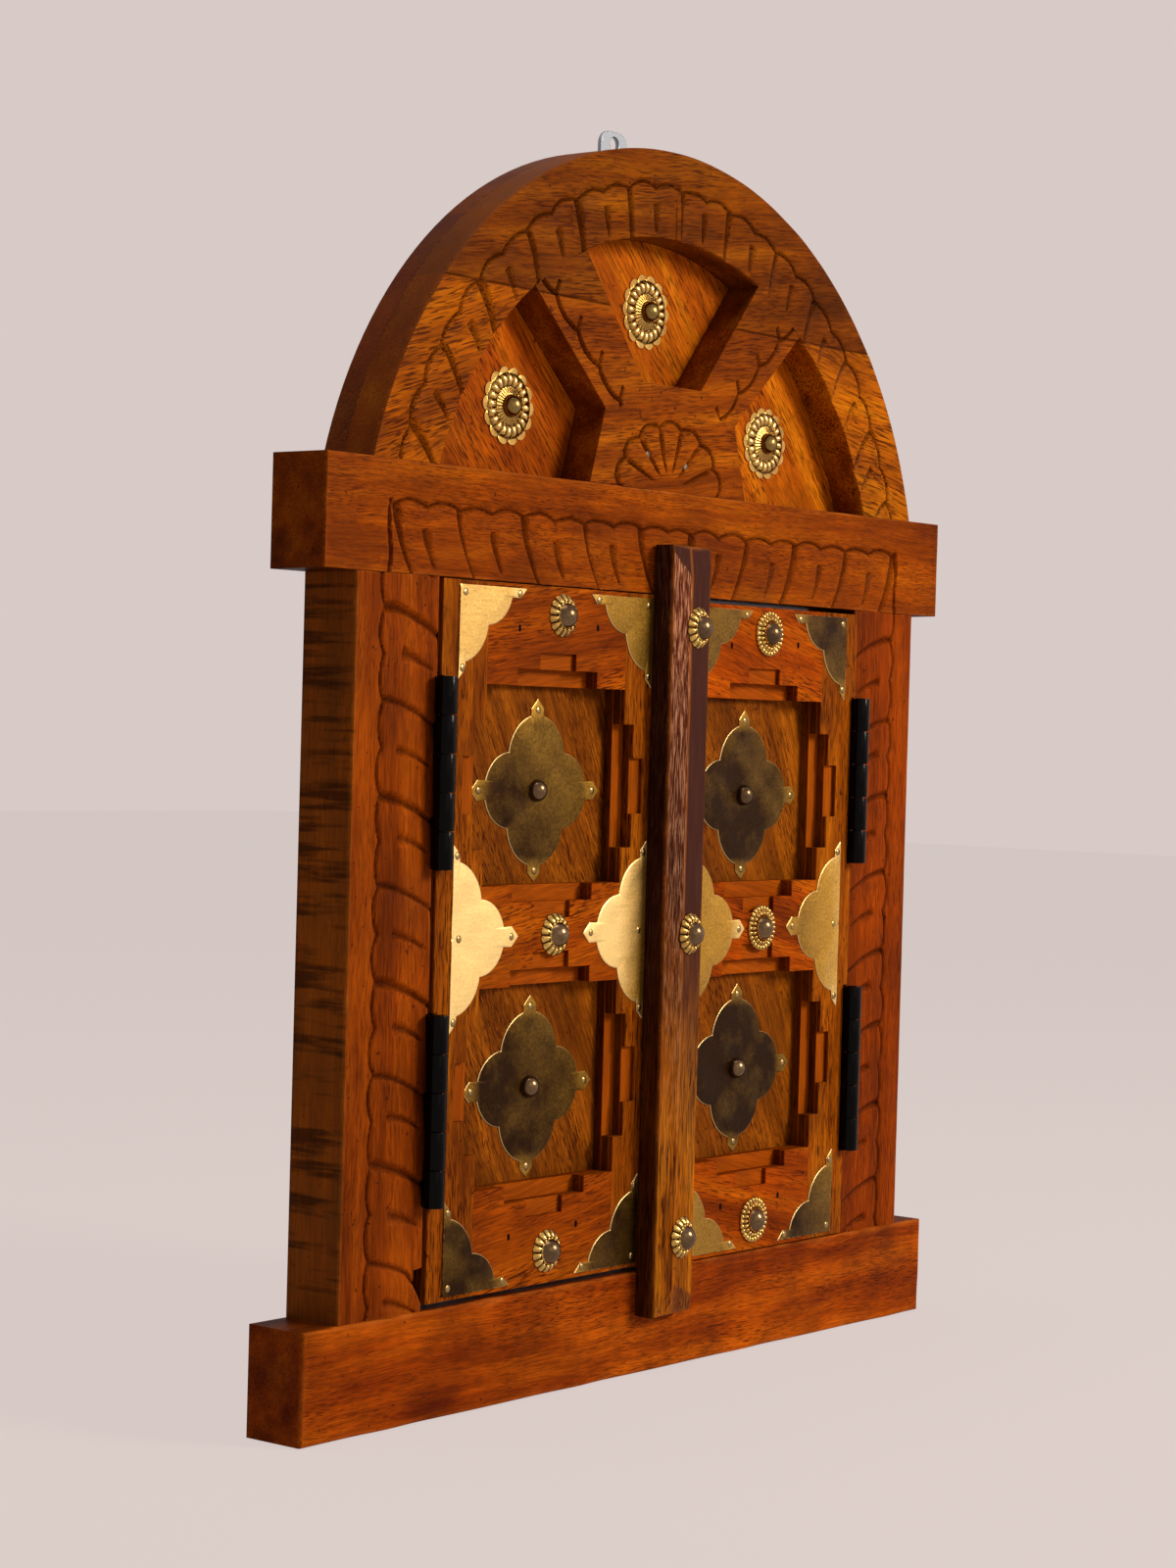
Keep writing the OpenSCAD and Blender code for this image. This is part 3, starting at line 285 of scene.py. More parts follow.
def makeBrass(name, bright, dull, dirt, rough=(0.2, 0.38), spots=0.45, hollow=0.6, seed=0.0, gold=None,
              metallic=1.0):
    look = brassLook
    material, tree = newMaterial(name)
    own = addNode(tree, "TexCoord", out="Object")
    place = addNode(tree, "Mapping", [own, (seed * 0.17, seed * 0.11, seed * 0.13)])
    cloud = addNode(tree, "TexNoise", {"Vector": place, "Scale": 1000 / look["hollow"], "Detail": 4.0,
                                       "Roughness": 0.6}, "Fac")
    if gold:                                   # plates: the tone attribute leads from dull by gold to bright
        tone = addNode(tree, "Attribute", out="Fac", attribute_name="tone")
        part = addNode(tree, "MapRange", [cloud, 0.3, 0.7, -0.06, 0.06])
        part = addNode(tree, "Math", [tone, part], operation="ADD", use_clamp=True)
        clean = addNode(tree, "MapRange", [tone, 0.0, 1.0, 1.0, 0.3])
        stops = [(0.0, dull), (0.55, gold), (1.0, bright)]
    else:
        part = addNode(tree, "MapRange", [cloud, 0.32, 0.68])
        clean = 1.0
        stops = [(0.0, dull), (1.0, bright)]
    spot = addNode(tree, "TexNoise", {"Vector": place, "Scale": 1000 / look["spot"], "Detail": 3.0,
                                      "Roughness": 0.7}, "Fac")
    spot = addNode(tree, "MapRange", [spot, 0.58, 0.72, 0.0, spots])
    speck = addNode(tree, "TexNoise", {"Vector": place, "Scale": 1000 / look["speck"], "Detail": 2.0}, "Fac")
    speck = addNode(tree, "MapRange", [speck, 0.3, 0.7, 1 - 0.6 * spots, 1 + 0.6 * spots])
    # groove: painted shade and grime above 0, wear with painted highlight below 0
    groove = addNode(tree, "Attribute", out="Fac", attribute_name="groove")
    colour = layered(tree, addNode(tree, "ValToRGB", [part], stops=stops), [
        ("MIX", addNode(tree, "Math", [spot, clean], operation="MULTIPLY"), dirt), ("MULTIPLY", clean, speck),
        ("MIX", addNode(tree, "MapRange", [groove, 0.0, 1.0]), look["grimeAndShade"]),
        ("MIX", addNode(tree, "MapRange", [groove, 0.0, -1.0, 0.0, 0.8]), look["rubbedSheen"])])
    along, across = look["scratch"]
    fine = addNode(tree, "Mapping", {"Vector": place, "Rotation": (0, look["scratchTurn"], 0),
                                     "Scale": (1000 / along, 1000 / across, 1000 / across)})
    fine = addNode(tree, "TexNoise", {"Vector": fine, "Scale": 1.0, "Detail": 1.0}, "Fac")
    both = addNode(tree, "Math", [cloud, fine], operation="ADD")
    bump = addNode(tree, "Bump", {"Strength": hollow, "Distance": look["hollowDepth"] * mm, "Height": cloud})
    bump = addNode(tree, "Bump", {"Strength": look["scratchBump"], "Distance": look["scratchDepth"] * mm,
                                  "Height": fine, "Normal": bump})
    shader = addNode(tree, "BsdfPrincipled", {
        "Base Color": colour, "Normal": bump, "Metallic": metallic,
        "Roughness": addNode(tree, "MapRange", [both, 0.7, 1.3, rough[1], rough[0]]),
        "Specular IOR Level": look["tarnishGloss"] if gold else 0.5})    # tarnish has no white gloss of its own
    addNode(tree, "OutputMaterial", {"Surface": shader}, None)
    return material


# Black gloss paint or zinc plating over steel: small runs in the gloss and worn specks. Sizes are in mm.
paintLook = {"speck": 1.6, "worn": (0.66, 0.78), "spread": 0.2, "bump": 0.3, "bumpDepth": 0.1}


def makePaint(name, colour, wear, rough, metallic=0.0, specular=0.5):
    look = paintLook
    material, tree = newMaterial(name)
    own = addNode(tree, "TexCoord", out="Object")
    speck = addNode(tree, "TexNoise", {"Vector": own, "Scale": 1000 / look["speck"], "Detail": 4.0,
                                       "Roughness": 0.7}, "Fac")
    mask = addNode(tree, "MapRange", [speck, *look["worn"]])
    bump = addNode(tree, "Bump", {"Strength": look["bump"], "Distance": look["bumpDepth"] * mm, "Height": speck})
    shader = addNode(tree, "BsdfPrincipled", {
        "Base Color": layered(tree, colour, [("MIX", mask, wear)]), "Normal": bump,
        "Roughness": addNode(tree, "MapRange", [speck, 0.3, 0.7, rough, rough + look["spread"]]),
        "Metallic": metallic, "Specular IOR Level": specular})
    addNode(tree, "OutputMaterial", {"Surface": shader}, None)
    return material


lintelLo, lintelHi = span("lintel")
jambLo, jambHi = span("jamb_left")
jambRLo, jambRHi = span("jamb_right")
boardLo, boardHi = span("arch_back_board")
crownLo, crownHi = span("arch_crown")
sillLo, sillHi = span("sill")
stripLo, stripHi = span("cover_strip")
# arch: circle through the foot and the top of the back board
archX = (boardHi[0] + boardLo[0]) / 2
archHigh = boardHi[2] - boardLo[2]
archR = (((boardHi[0] - boardLo[0]) / 2) ** 2 + archHigh ** 2) / (2 * archHigh)
archZ = boardHi[2] - archR
archFoot = boardLo[2]
nicheFloors = (2.1, 6.2)                       # depths of the two steps of the niches, under the leaf's front
nicheAt = {side: (span(side + "_top_rail")[0][1], *nicheFloors) for side in ("left", "right")}

woods = {
    "sill": makeWood("hardwood_sill", "#C05C08", "#9C4204", "#742804", "x", 1.3, carved=True, pores=0.7, poreSize=0.8,
                     cloud=0.45),
    "lintel": makeWood("hardwood_lintel", "#AA5604", "#8E3F02", "#6C2B01", "x", 2.1, carved=True, pores=0.65,
                       poreSize=0.7),
    "jamb_left": makeWood("hardwood_left_jamb", "#A14C06", "#883A03", "#662902", "z", 3.4, carved=True, pores=0.5,
                          scorch=jambLo[0]),
    "jamb_right": makeWood("hardwood_right_jamb", "#9C4203", "#863502", "#672801", "z", 4.2, carved=True, pores=0.6),
    "arch_crown": makeWood("hardwood_crown", "#925004", "#763802", "#582801", "x", 5.5, carved=True,
                           turn=(0, 0.12, 0), pores=0.75, poreSize=1.2, rim="#6E3810"),
    "arch_leg_left": makeWood("hardwood_left_leg", "#C67606", "#A85603", "#7E3A02", "x", 6.1, carved=True, pores=0.85,
                              poreSize=1.3, turn=(0, 0.3, 0), rim="#66300F"),
    "arch_leg_right": makeWood("hardwood_right_leg", "#C87806", "#AA5803", "#803C02", "x", 7.7, carved=True,
                               pores=0.85, poreSize=1.3, turn=(0, -0.15, 0), rim="#66300F"),
    "arch_fan_centre": makeWood("hardwood_fan_centre", "#AC5C06", "#8A4003", "#642A02", "x", 8.3, carved=True,
                                pores=0.75, poreSize=1.1, turn=(0, 0.12, 0)),
    "arch_back_board": makeWood("hardwood_arch_panel", "#D68410", "#C66A0A", "#A85606", "x", 9.1,
                                turn=(0, -0.85, 0), pores=0.9, strips=24.0, rim="#4E2416"),
    "leaf_stile_left": makeWood("hardwood_left_stile", "#AE600A", "#8E4604", "#642C03", "z", 10.4, pores=0.9,
                                niches=nicheAt["left"]),
    "leaf_stile_right": makeWood("hardwood_right_stile", "#B4640A", "#944A04", "#682E03", "z", 15.2, pores=0.9,
                                 niches=nicheAt["right"]),
    "leaf_rail_left": makeWood("hardwood_left_rail", "#BA5E05", "#984302", "#6C2A02", "x", 11.9, pores=0.9,
                               turn=(0, 0.15, 0), niches=nicheAt["left"]),
    "leaf_rail_right": makeWood("hardwood_right_rail", "#BE5E03", "#A04201", "#762E01", "x", 12.6, pores=0.8,
                                turn=(0, -0.2, 0), niches=nicheAt["right"]),
    "leaf_panel": makeWood("hardwood_panel", "#A85C0C", "#884708", "#623004", "z", 13.8, turn=(0, 0.45, 0),
                           fibre=0.4, pores=1.0, poreSize=0.6),
    "cover_strip": makeWood("rosewood_strip", "#C47A10", "#A45A06", "#6E3203", "z", 14.2, fibre=0.6, pores=1.0,
                            poreSize=1.2, carved=True, fade=(stripLo[2], stripHi[2], "#643019", "#3E211A"),
                            flank=stripLo[0]),
}
metals = {
    "sheet": makeBrass("sheet_brass", "#FFDC90", "#2C1804", "#241406", (0.3, 0.46), 0.55, gold="#BC8E36",
                       metallic=0.86),
    "pressed": makeBrass("pressed_brass", "#E0B662", "#B08440", "#4A2E0C", (0.14, 0.26), 0.3, hollow=0.15),
    "dome": makeBrass("dark_brass_dome", "#7C6448", "#4E3C28", "#2A1C10", (0.18, 0.26), 0.3, hollow=0.12, seed=4.0),
    "archDome": makeBrass("brass_dome_nail", "#A08648", "#6E5630", "#33230E", (0.18, 0.28), 0.3, hollow=0.12,
                          seed=6.0),
    "pin": makeBrass("brass_pin", "#98794A", "#66502E", "#3A2814", (0.24, 0.34), 0.2, hollow=0.1, seed=5.0),
    "hinge": makePaint("black_gloss_paint", "#020101", "#1C1714", 0.06, specular=0.08),
    "zinc": makePaint("zinc_plated_steel", "#848B94", "#585E64", 0.34, 1.0),
    "nail": makePaint("old_steel_nail", "#5E5548", "#2E2218", 0.45, 1.0),
    "slit": makePaint("nail_hole_shade", "#0C0401", "#1A0A02", 0.8, specular=0.05),
}
print("materials:", len(woods) + len(metals))


def dress(name, material, edge=0.0):
    # gives a CAD node its material and rounds its edges by this many mm
    node = nodes[name]
    node.data.materials.clear()
    node.data.materials.append(material)
    if edge:
        weld = node.modifiers.new("weld", "WELD")
        weld.merge_threshold = 0.004 * mm
        bevel = node.modifiers.new("edge", "BEVEL")
        bevel.width = edge * mm
        bevel.segments = 2
        bevel.limit_method = "ANGLE"
        bevel.angle_limit = np.radians(40)


edges = {"leaf": 0.45, "hinge": 0.15, "hanger": 0.3}
dress("arch_back_board", woods["arch_back_board"])
for side in ("left", "right"):
    dress(side + "_back_board", woods["leaf_panel"], edges["leaf"])
    for part in ("hinge_stile", "meeting_stile"):
        dress(f"{side}_{part}", woods["leaf_stile_" + side], edges["leaf"])
    for part in ("top_rail", "mid_rail", "bottom_rail"):
        dress(f"{side}_{part}", woods["leaf_rail_" + side], edges["leaf"])
    for part in ("stud_domes", "dome_nails"):
        dress(f"{side}_{part}", metals["dome"])
    dress(side + "_hinge_leaves", metals["hinge"], edges["hinge"])
    dress("hinge_jamb_" + side, metals["hinge"], edges["hinge"])
    dress("hinge_pins_" + side, metals["hinge"])
dress("strip_domes", metals["dome"])
dress("arch_dome_nails", metals["archDome"])
dress("hanger_plate", metals["zinc"], edges["hanger"])
dress("hanger_screws", metals["nail"])
print("CAD nodes dressed")


# carved boards, in mm; a phase is a share of a leaf and ringStep is in degrees
cut = {
    "drift": 10.0, "grooveDepth": 2.3, "grooveHalf": 2.3, "slope": (1.0, 5.5),
    "tickDepth": 1.9, "tickHalf": 2.9, "lineDepth": 1.8, "lineHalf": 1.3, "rise": 2.4, "outside": (0.8, 3.5),
    "step": 0.6, "edge": 0.9, "jambLeaves": 8, "jambPhase": 0.37, "jambEnds": 0.5, "lintelLeaves": 4.5,
    "ringStep": 11.7, "ringPhase": 0.1, "band": 30.0, "lintelBand": 25.5, "ringBand": 20.0,
}


def spread(low, high, step):
    # even steps from low to high, with a few closer ones at both ends for the worn edge
    close = np.array([0.0, 0.12, 0.3, 0.55, 0.9, 1.4])
    inner = np.linspace(low + 2.0, high - 2.0, max(2, int((high - low - 4) / step)))
    return np.concatenate([low + close, inner, (high - close)[::-1]])


def vee(distance, half):
    # depth of a V cut with a slightly rounded bottom, 1 in the middle and 0 beyond half
    return np.clip(1.08 - np.sqrt((distance / half) ** 2 + 0.006), 0, 1)


def leafRelief(s, t, pitch, phase, width, drift, seed):
    # depth under the face at s along and t across a band of leaves. Long V cuts lean by drift * u^1.6,
    # wedges between them taper inwards, a scalloped line with two lobes a leaf runs along t = 0.
    # Each cut is set a little off its place, as by hand.
    u = np.clip(t / width, 0, 1)

    def nearest(offset, bend, by):
        g = (s - bend) / pitch - phase - offset
        index = np.round(g)
        return (g - index - by * np.sin(index * 2.4 + seed * 1.7 + offset * 5)) * pitch, np.sin(index * 3.1 + seed)

    wobble = 0.35 * waves(s / 6, t / 6, seed)
    d, chance = nearest(0.0, drift * u ** 1.6 + wobble, 0.03)
    half = cut["grooveHalf"] * (1.1 - 0.45 * u) * (1 + 0.2 * chance)
    groove = vee(d, half) * (t > -cut["rise"] - 1) * np.clip((t + 1.5) * 1.5, 0, 1)
    deep = cut["grooveDepth"] * (1 - 0.35 * u) * (1 + 0.15 * chance)
    slope = cut["slope"][0] * np.exp(-np.clip(d, 0, None) / cut["slope"][1]) * (d > 0) * np.clip(t / 4, 0, 1)
    ut = np.clip((u - 0.3) / 0.62, 0, 1)
    dt, chanceT = nearest(0.5, drift * 0.6 * ut ** 1.6 + wobble, 0.035)
    gate = np.clip((u - 0.27 - 0.03 * chanceT) * 22, 0, 1) * np.clip((0.97 - u) * 8, 0, 1)
    tick = vee(dt, cut["tickHalf"] * (1.05 - 0.75 * ut) * (1 + 0.15 * chanceT)) * gate
    lobe = np.abs(np.sin((s / pitch - phase) * 2 * np.pi))
    line = -cut["rise"] * lobe ** 0.7 * (1 + 0.2 * np.sin(np.floor((s / pitch - phase) * 2) * 1.9 + seed)) + wobble
    dl = t - line
    scallop = vee(dl, cut["lineHalf"])
    outside = cut["outside"][0] * np.exp(-np.clip(-dl, 0, None) / cut["outside"][1]) * (dl < 0)
    pillow = 0.8 * np.exp(-np.clip(dl, 0, None) / 2.5) * (dl >= 0)
    depth = np.maximum.reduce([deep * groove, slope, cut["tickDepth"] * (1 - 0.4 * ut) * tick,
                               cut["lineDepth"] * scallop, outside, pillow])
    # dark: painted shade and grime down the cuts, ticks and scalloped line and on the slope outside it
    dark = np.maximum.reduce([groove ** 1.5 * 0.85, tick ** 1.4 * 0.75, scallop ** 1.5 * 0.9,
                              0.3 * outside / cut["outside"][0]])
    return depth, dark


def wearEdge(depth, dark, distance, seed, a, b, size=1.0):
    # worn round edge: a quarter circle whose radius wanders along the board, paler where it is rubbed, wear with
    # painted highlight
    radius = np.maximum(cut["edge"] * size * (0.8 + 0.5 * waves(a / 17, b / 17, seed)), 0.25)
    inside = np.clip(radius - distance, 0, None)
    drop = radius - np.sqrt(np.clip(radius ** 2 - inside ** 2, 0, None))
    rubAndSheen = np.clip(1 - distance / (radius * 1.6), 0, 1) * np.clip(0.6 + 0.6 * waves(a / 9, b / 9, seed + 3), 0, 1)
    return np.maximum(depth, drop), np.where(dark > 0.15, dark, -rubAndSheen)


def boardGrid(lo, hi, step, ends=0.0):
    # places over the front of a board and their distance from its edges, where ends is added at foot and top
    x, z = np.meshgrid(spread(lo[0], hi[0], step), spread(lo[2], hi[2], step))
    return x, z, np.minimum.reduce([x - lo[0], hi[0] - x, z - lo[2] + ends, hi[2] - z + ends])


# walls of a board: how far in the lines beside its front and back edges lie, in mm, and the mark from front to back:
# paler worn front edge with painted highlight, painted shade at the back where it meets what lies behind,
# darker end grain, and painted shade on walls that face a leaf across a gap
wallLook = {"front": 1.2, "back": 1.1, "plain": (-0.4, 0.0, 0.0, 0.9), "endGrain": (0.0, 0.32, 0.32, 0.9),
            "gapShade": (0.2, 0.8, 0.95, 0.95)}


def boardParts(x, z, front, back, depth, dark, walls, endGrain=(), gapShade=(), rear=None):
    # a patch of board: carved front, walls on the named sides (0 first row, 1 last column, 2 last row,
    # 3 first column), with painted shade where they meet what lies behind or face a leaf across a gap, and a flat
    # back, at other places than the front where rear gives them
    rows, cols = x.shape
    face = np.stack([x, front + depth, z], -1)
    rearX, rearZ = rear or (x, z)
    rear = np.stack([rearX, np.full_like(x, back), rearZ], -1)
    parts = [(face, gridQuads(rows, cols), dark)]
    loops = [(0, slice(None)), (slice(None), -1), (-1, slice(None)), (slice(None), 0)]
    for side in walls:
        a, b = face[loops[side]], rear[loops[side]]
        near = a + np.array([0, wallLook["front"], 0])
        last = b - np.array([0, wallLook["back"], 0])
        kind = "gapShade" if side in gapShade else "endGrain" if side in endGrain else "plain"
        shade = np.repeat(np.array(wallLook[kind])[:, None], len(a), 1)
        parts.append((np.stack([a, near, last, b]), gridQuads(4, len(a)), shade))
    ring = np.concatenate([rear[0], rear[1:, -1], rear[-1, :-1][::-1], rear[1:-1, 0][::-1]])
    parts.append((ring, [list(range(len(ring)))], 0.0))
    return parts


def flat(x):
    # an uncarved face: no depth, no grime
    return np.zeros_like(x), np.zeros_like(x)


def putBoard(name, parts, ending="_carved"):
    putPiece(name + ending, parts, woods[name], "frame", [name])


# sill: a plain board with bumped edges
sill = {"step": 2.0, "wear": 1.8}
x, z, far = boardGrid(sillLo, sillHi, sill["step"])
depth, dark = wearEdge(*flat(x), far, 9, x, z, sill["wear"])
# the sill's top wall gets painted shade under the leaves
putBoard("sill", boardParts(x, z, sillLo[1], sillHi[1], depth, dark, (0, 1, 2, 3), (1, 3), (2,)), "_board")

# lintel: the band lies along the lower edge between the two lines of the jambs
x, z, far = boardGrid(lintelLo, lintelHi, cut["step"])
middle = (lintelLo[0] + lintelHi[0]) / 2
lineX = middle - jambLo[0] - (jambHi[0] - jambLo[0] - cut["band"])
lintelPitch = lineX / cut["lintelLeaves"]
s = lineX - np.abs(x - middle)
t = lintelLo[2] + cut["lintelBand"] - z
depth, dark = leafRelief(s, t, lintelPitch, 2 / lintelPitch, cut["lintelBand"], cut["drift"], 1 + (x > middle))
inside = np.clip(s * 2 + 1, 0, 1)
endLine = vee(s + 0.3 + 0.6 * np.sin(z / 4), 1.1) * (t > -cut["rise"])
depth, dark = np.maximum(depth * inside, cut["grooveDepth"] * endLine), np.maximum(dark * inside, 0.8 * endLine)
depth, dark = wearEdge(depth, dark, far, 1, x, z)
outOfSquare = 0.5                              # the underside was planed lower at the back
low = z - outOfSquare * (z < lintelLo[2] + 0.01)
# the lintel's underside gets painted shade above the leaves
parts = boardParts(x, z, lintelLo[1], lintelHi[1], depth, dark, (0, 1, 2, 3), (1, 3), (0,), (x, low))
putBoard("lintel", parts)

# jambs: the band runs down the inner edge, the leaves lean down and in
chip = {"foot": 3.0, "high": 14.0, "deep": 5.0, "reach": 9.0}
for name, lo, hi, sign, seed in (("jamb_left", jambLo, jambHi, 1, 2), ("jamb_right", jambRLo, jambRHi, -1, 3)):
    x, z, far = boardGrid(lo, hi, cut["step"], cut["jambEnds"])
    s = hi[2] - z
    t = (x - lo[0] if sign > 0 else hi[0] - x) - (hi[0] - lo[0] - cut["band"])
    pitch = (hi[2] - lo[2]) / cut["jambLeaves"]
    depth, dark = leafRelief(s, t, pitch, cut["jambPhase"], cut["band"], cut["drift"], seed)
    depth, dark = wearEdge(depth, dark, far, seed, x, z)
    straight = x
    if sign > 0:                               # a chip is broken out of the inner edge, low down
        ends = chip["foot"] + chip["high"] * np.array([0, 0.6, 1, 1]) - [0, 0, 0.3, 0]
        gone = np.interp(z - lo[2], ends, [0, chip["deep"], chip["deep"], 0])
        x = x - gone * np.clip(1 - (hi[0] - x) / chip["reach"], 0, 1)
    inner = 1 if sign > 0 else 3
    # the jamb's inner wall gets painted shade beside the leaf
    putBoard(name, boardParts(x, z, lo[1], hi[1], depth, dark, (0, 1, 2, 3), gapShade=(inner,), rear=(straight, z)))

# cover strip: flat on the left, a slope of width by drop on the right, and a slanted cut over each end that
# starts at endStart on the left edge, reaches endRidge where the slope begins and drops to endDrop in the corner
strip = {"width": 15.8, "drop": 2.0, "endStart": 3.0, "endRidge": 13.0, "endDrop": 2.8, "studIn": 10.0,
         "inset": 0.13}
lo, hi = stripLo, stripHi
ridgeX = hi[0] - strip["width"]
x, z = np.meshgrid(np.unique(np.concatenate([spread(lo[0], hi[0], 0.8), ridgeX + np.array([-0.3, 0, 0.3])])),
                   spread(lo[2], hi[2], 1.0))
endTurn = np.arctan2(strip["endRidge"] - strip["endStart"], ridgeX - lo[0])
endReach = (hi[0] - lo[0]) * np.sin(endTurn) + strip["endStart"] * np.cos(endTurn)
ends = [(x - lo[0]) * np.sin(endTurn) + (strip["endStart"] - away) * np.cos(endTurn)
        for away in (hi[2] - z, z - lo[2])]
endCut = strip["endDrop"] * np.clip(np.maximum(*ends), 0, None) / endReach
slopeCut = strip["drop"] * np.clip((x - ridgeX) / strip["width"], 0, None)
far = np.minimum.reduce([x - lo[0], hi[0] - x, z - lo[2], hi[2] - z])
depth, dark = wearEdge(*flat(x), far, 12, x, z)
depth = depth + np.maximum(endCut, slopeCut) + 0.12 * waves(x / 5, z / 23, 11)
# a paler line along the ridge: wear with painted highlight
dark = np.where(np.abs(x - ridgeX) < 0.7, np.minimum(dark, -0.5), dark)
parts = boardParts(x, z, lo[1] + strip["inset"], hi[1], depth, dark, (0, 1, 2, 3), (0, 2))
parts[0] = (*parts[0], np.where(endCut > slopeCut, np.where(x > ridgeX, 2.0, 1.4), x > ridgeX))
putPiece("cover_strip_board", parts, woods["cover_strip"], "right_leaf", ["cover_strip"])
print("frame boards carved")

# arch boards
jointZ = crownLo[2]
ringR = np.hypot(span("arch_leg_right")[0][0] - archX, jointZ - archZ)   # the leg's inner top corner
lineR = ringR + cut["ringBand"]
ringPitch = np.radians(cut["ringStep"]) * lineR
front, back = crownLo[1], crownHi[1]


def ringRelief(x, z, seed):
    # the leaf band bent round the arch centre; lower down the cuts turn from the radius towards the upright
    dx, dz = x - archX, z - archZ
    r, a = np.hypot(dx, dz), np.arctan2(dx, dz)
    phase = np.where(a >= 0, cut["ringPhase"], 1 - cut["ringPhase"])
    lean = cut["ringBand"] * np.tan(np.abs(a) / 2) * 0.8
    return *leafRelief(np.abs(a) * lineR, lineR - r, ringPitch, phase, cut["ringBand"], lean, seed + (a > 0)), r


def joint(depth, dark, distance):
    # a glued joint: a fine open line
    line = np.clip(1 - distance / 0.7, 0, 1)
    return np.maximum(depth, 0.45 * line), np.maximum(dark, 0.75 * (line > 0.3))


# the middle piece with its spokes and the half flower; the upper ends of the spokes belong to the crown
fan = {"floorShare": 0.605, "floorHalf": 0.129, "slope": 51.0, "kneeOut": 0.29, "kneeUp": 0.521, "foot": 0.348,
       "apexOver": 2.0, "flowerSide": 15.0, "flowerTop": 13.2, "flowerShare": 0.86, "petals": 7, "round": 0.8,
       "spokeFrom": (-9, 3), "spokeTo": (-10, 2), "spokeLobes": 3.2, "spokeWave": 2.6}
floorZ, floorX = archZ + ringR * fan["floorShare"], ringR * fan["floorHalf"]
kneeX, kneeZ = ringR * fan["kneeOut"], archZ + ringR * fan["kneeUp"]
footX = ringR * fan["foot"]
apexZ = jointZ + fan["apexOver"]
apexX = np.sqrt(ringR ** 2 - (apexZ - archZ) ** 2)
slopeX = 1 / np.tan(np.radians(fan["slope"]))
sideJointX = kneeX + (apexX - kneeX) * (jointZ - kneeZ) / (apexZ - kneeZ)
topJointX = floorX + (jointZ - floorZ) * slopeX
# where the side of the top opening meets the ring: |(floorX + k slopeX, floorZ + k)| = ringR
qa, qb = slopeX ** 2 + 1, 2 * (floorX * slopeX + floorZ - archZ)
qc = floorX ** 2 + (floorZ - archZ) ** 2 - ringR ** 2
k = (-qb + np.sqrt(qb ** 2 - 4 * qa * qc)) / (2 * qa)
topRingX, topRingZ = floorX + k * slopeX, floorZ + k
spokeFrom, spokeTo = np.arctan2(topRingX, topRingZ - archZ), np.arctan2(apexX, apexZ - archZ)

# crown and legs: rings of u from the inner to the outer radius, v from the upper to the lower end
u = (spread(ringR, archR, cut["step"]) - ringR) / (archR - ringR)
patches = {}
for name, top, low, seed in (("arch_crown", None, jointZ, 4), ("arch_leg_left", jointZ, archFoot, 5),
                             ("arch_leg_right", jointZ, archFoot, 6)):
    r = ringR + u[:, None] * (archR - ringR)
    lowA = np.arccos((low - archZ) / r)
    highA = -lowA if top is None else np.arccos((top - archZ) / r)
    length = (lowA - highA).max() * archR
    v = (spread(0, length, cut["step"]) / length)[None, :]
    a = highA + (lowA - highA) * v
    if name == "arch_leg_left":
        a = -a
    x, z = archX + r * np.sin(a), archZ + r * np.cos(a)
    depth, dark, rr = ringRelief(x, z, 4)
    tilt = np.abs(np.arctan2(x - archX, z - archZ))
    inner = rr - ringR + 9 * ((tilt > spokeFrom) & (tilt < spokeTo))
    depth, dark = wearEdge(depth, dark, np.minimum(archR - rr, inner), seed, x, z)
    depth, dark = joint(depth, dark, np.abs(z - jointZ))
    patches[name] = boardParts(x, z, front, back, depth, dark, (0, 1, 2, 3))


def quadPatch(corners, step):
    # bilinear patch between four corners (low left, low right, high right, high left)
    c = np.array(corners, float)
    wide = max(np.hypot(*(c[1] - c[0])), np.hypot(*(c[2] - c[3])))
    high = max(np.hypot(*(c[3] - c[0])), np.hypot(*(c[2] - c[1])))
    p = (spread(0, wide, step) / wide)[None, :, None]
    q = (spread(0, high, step) / high)[:, None, None]
    grid = (c[0] * (1 - p) + c[1] * p) * (1 - q) + (c[3] * (1 - p) + c[2] * p) * q
    return grid[..., 0], grid[..., 1]


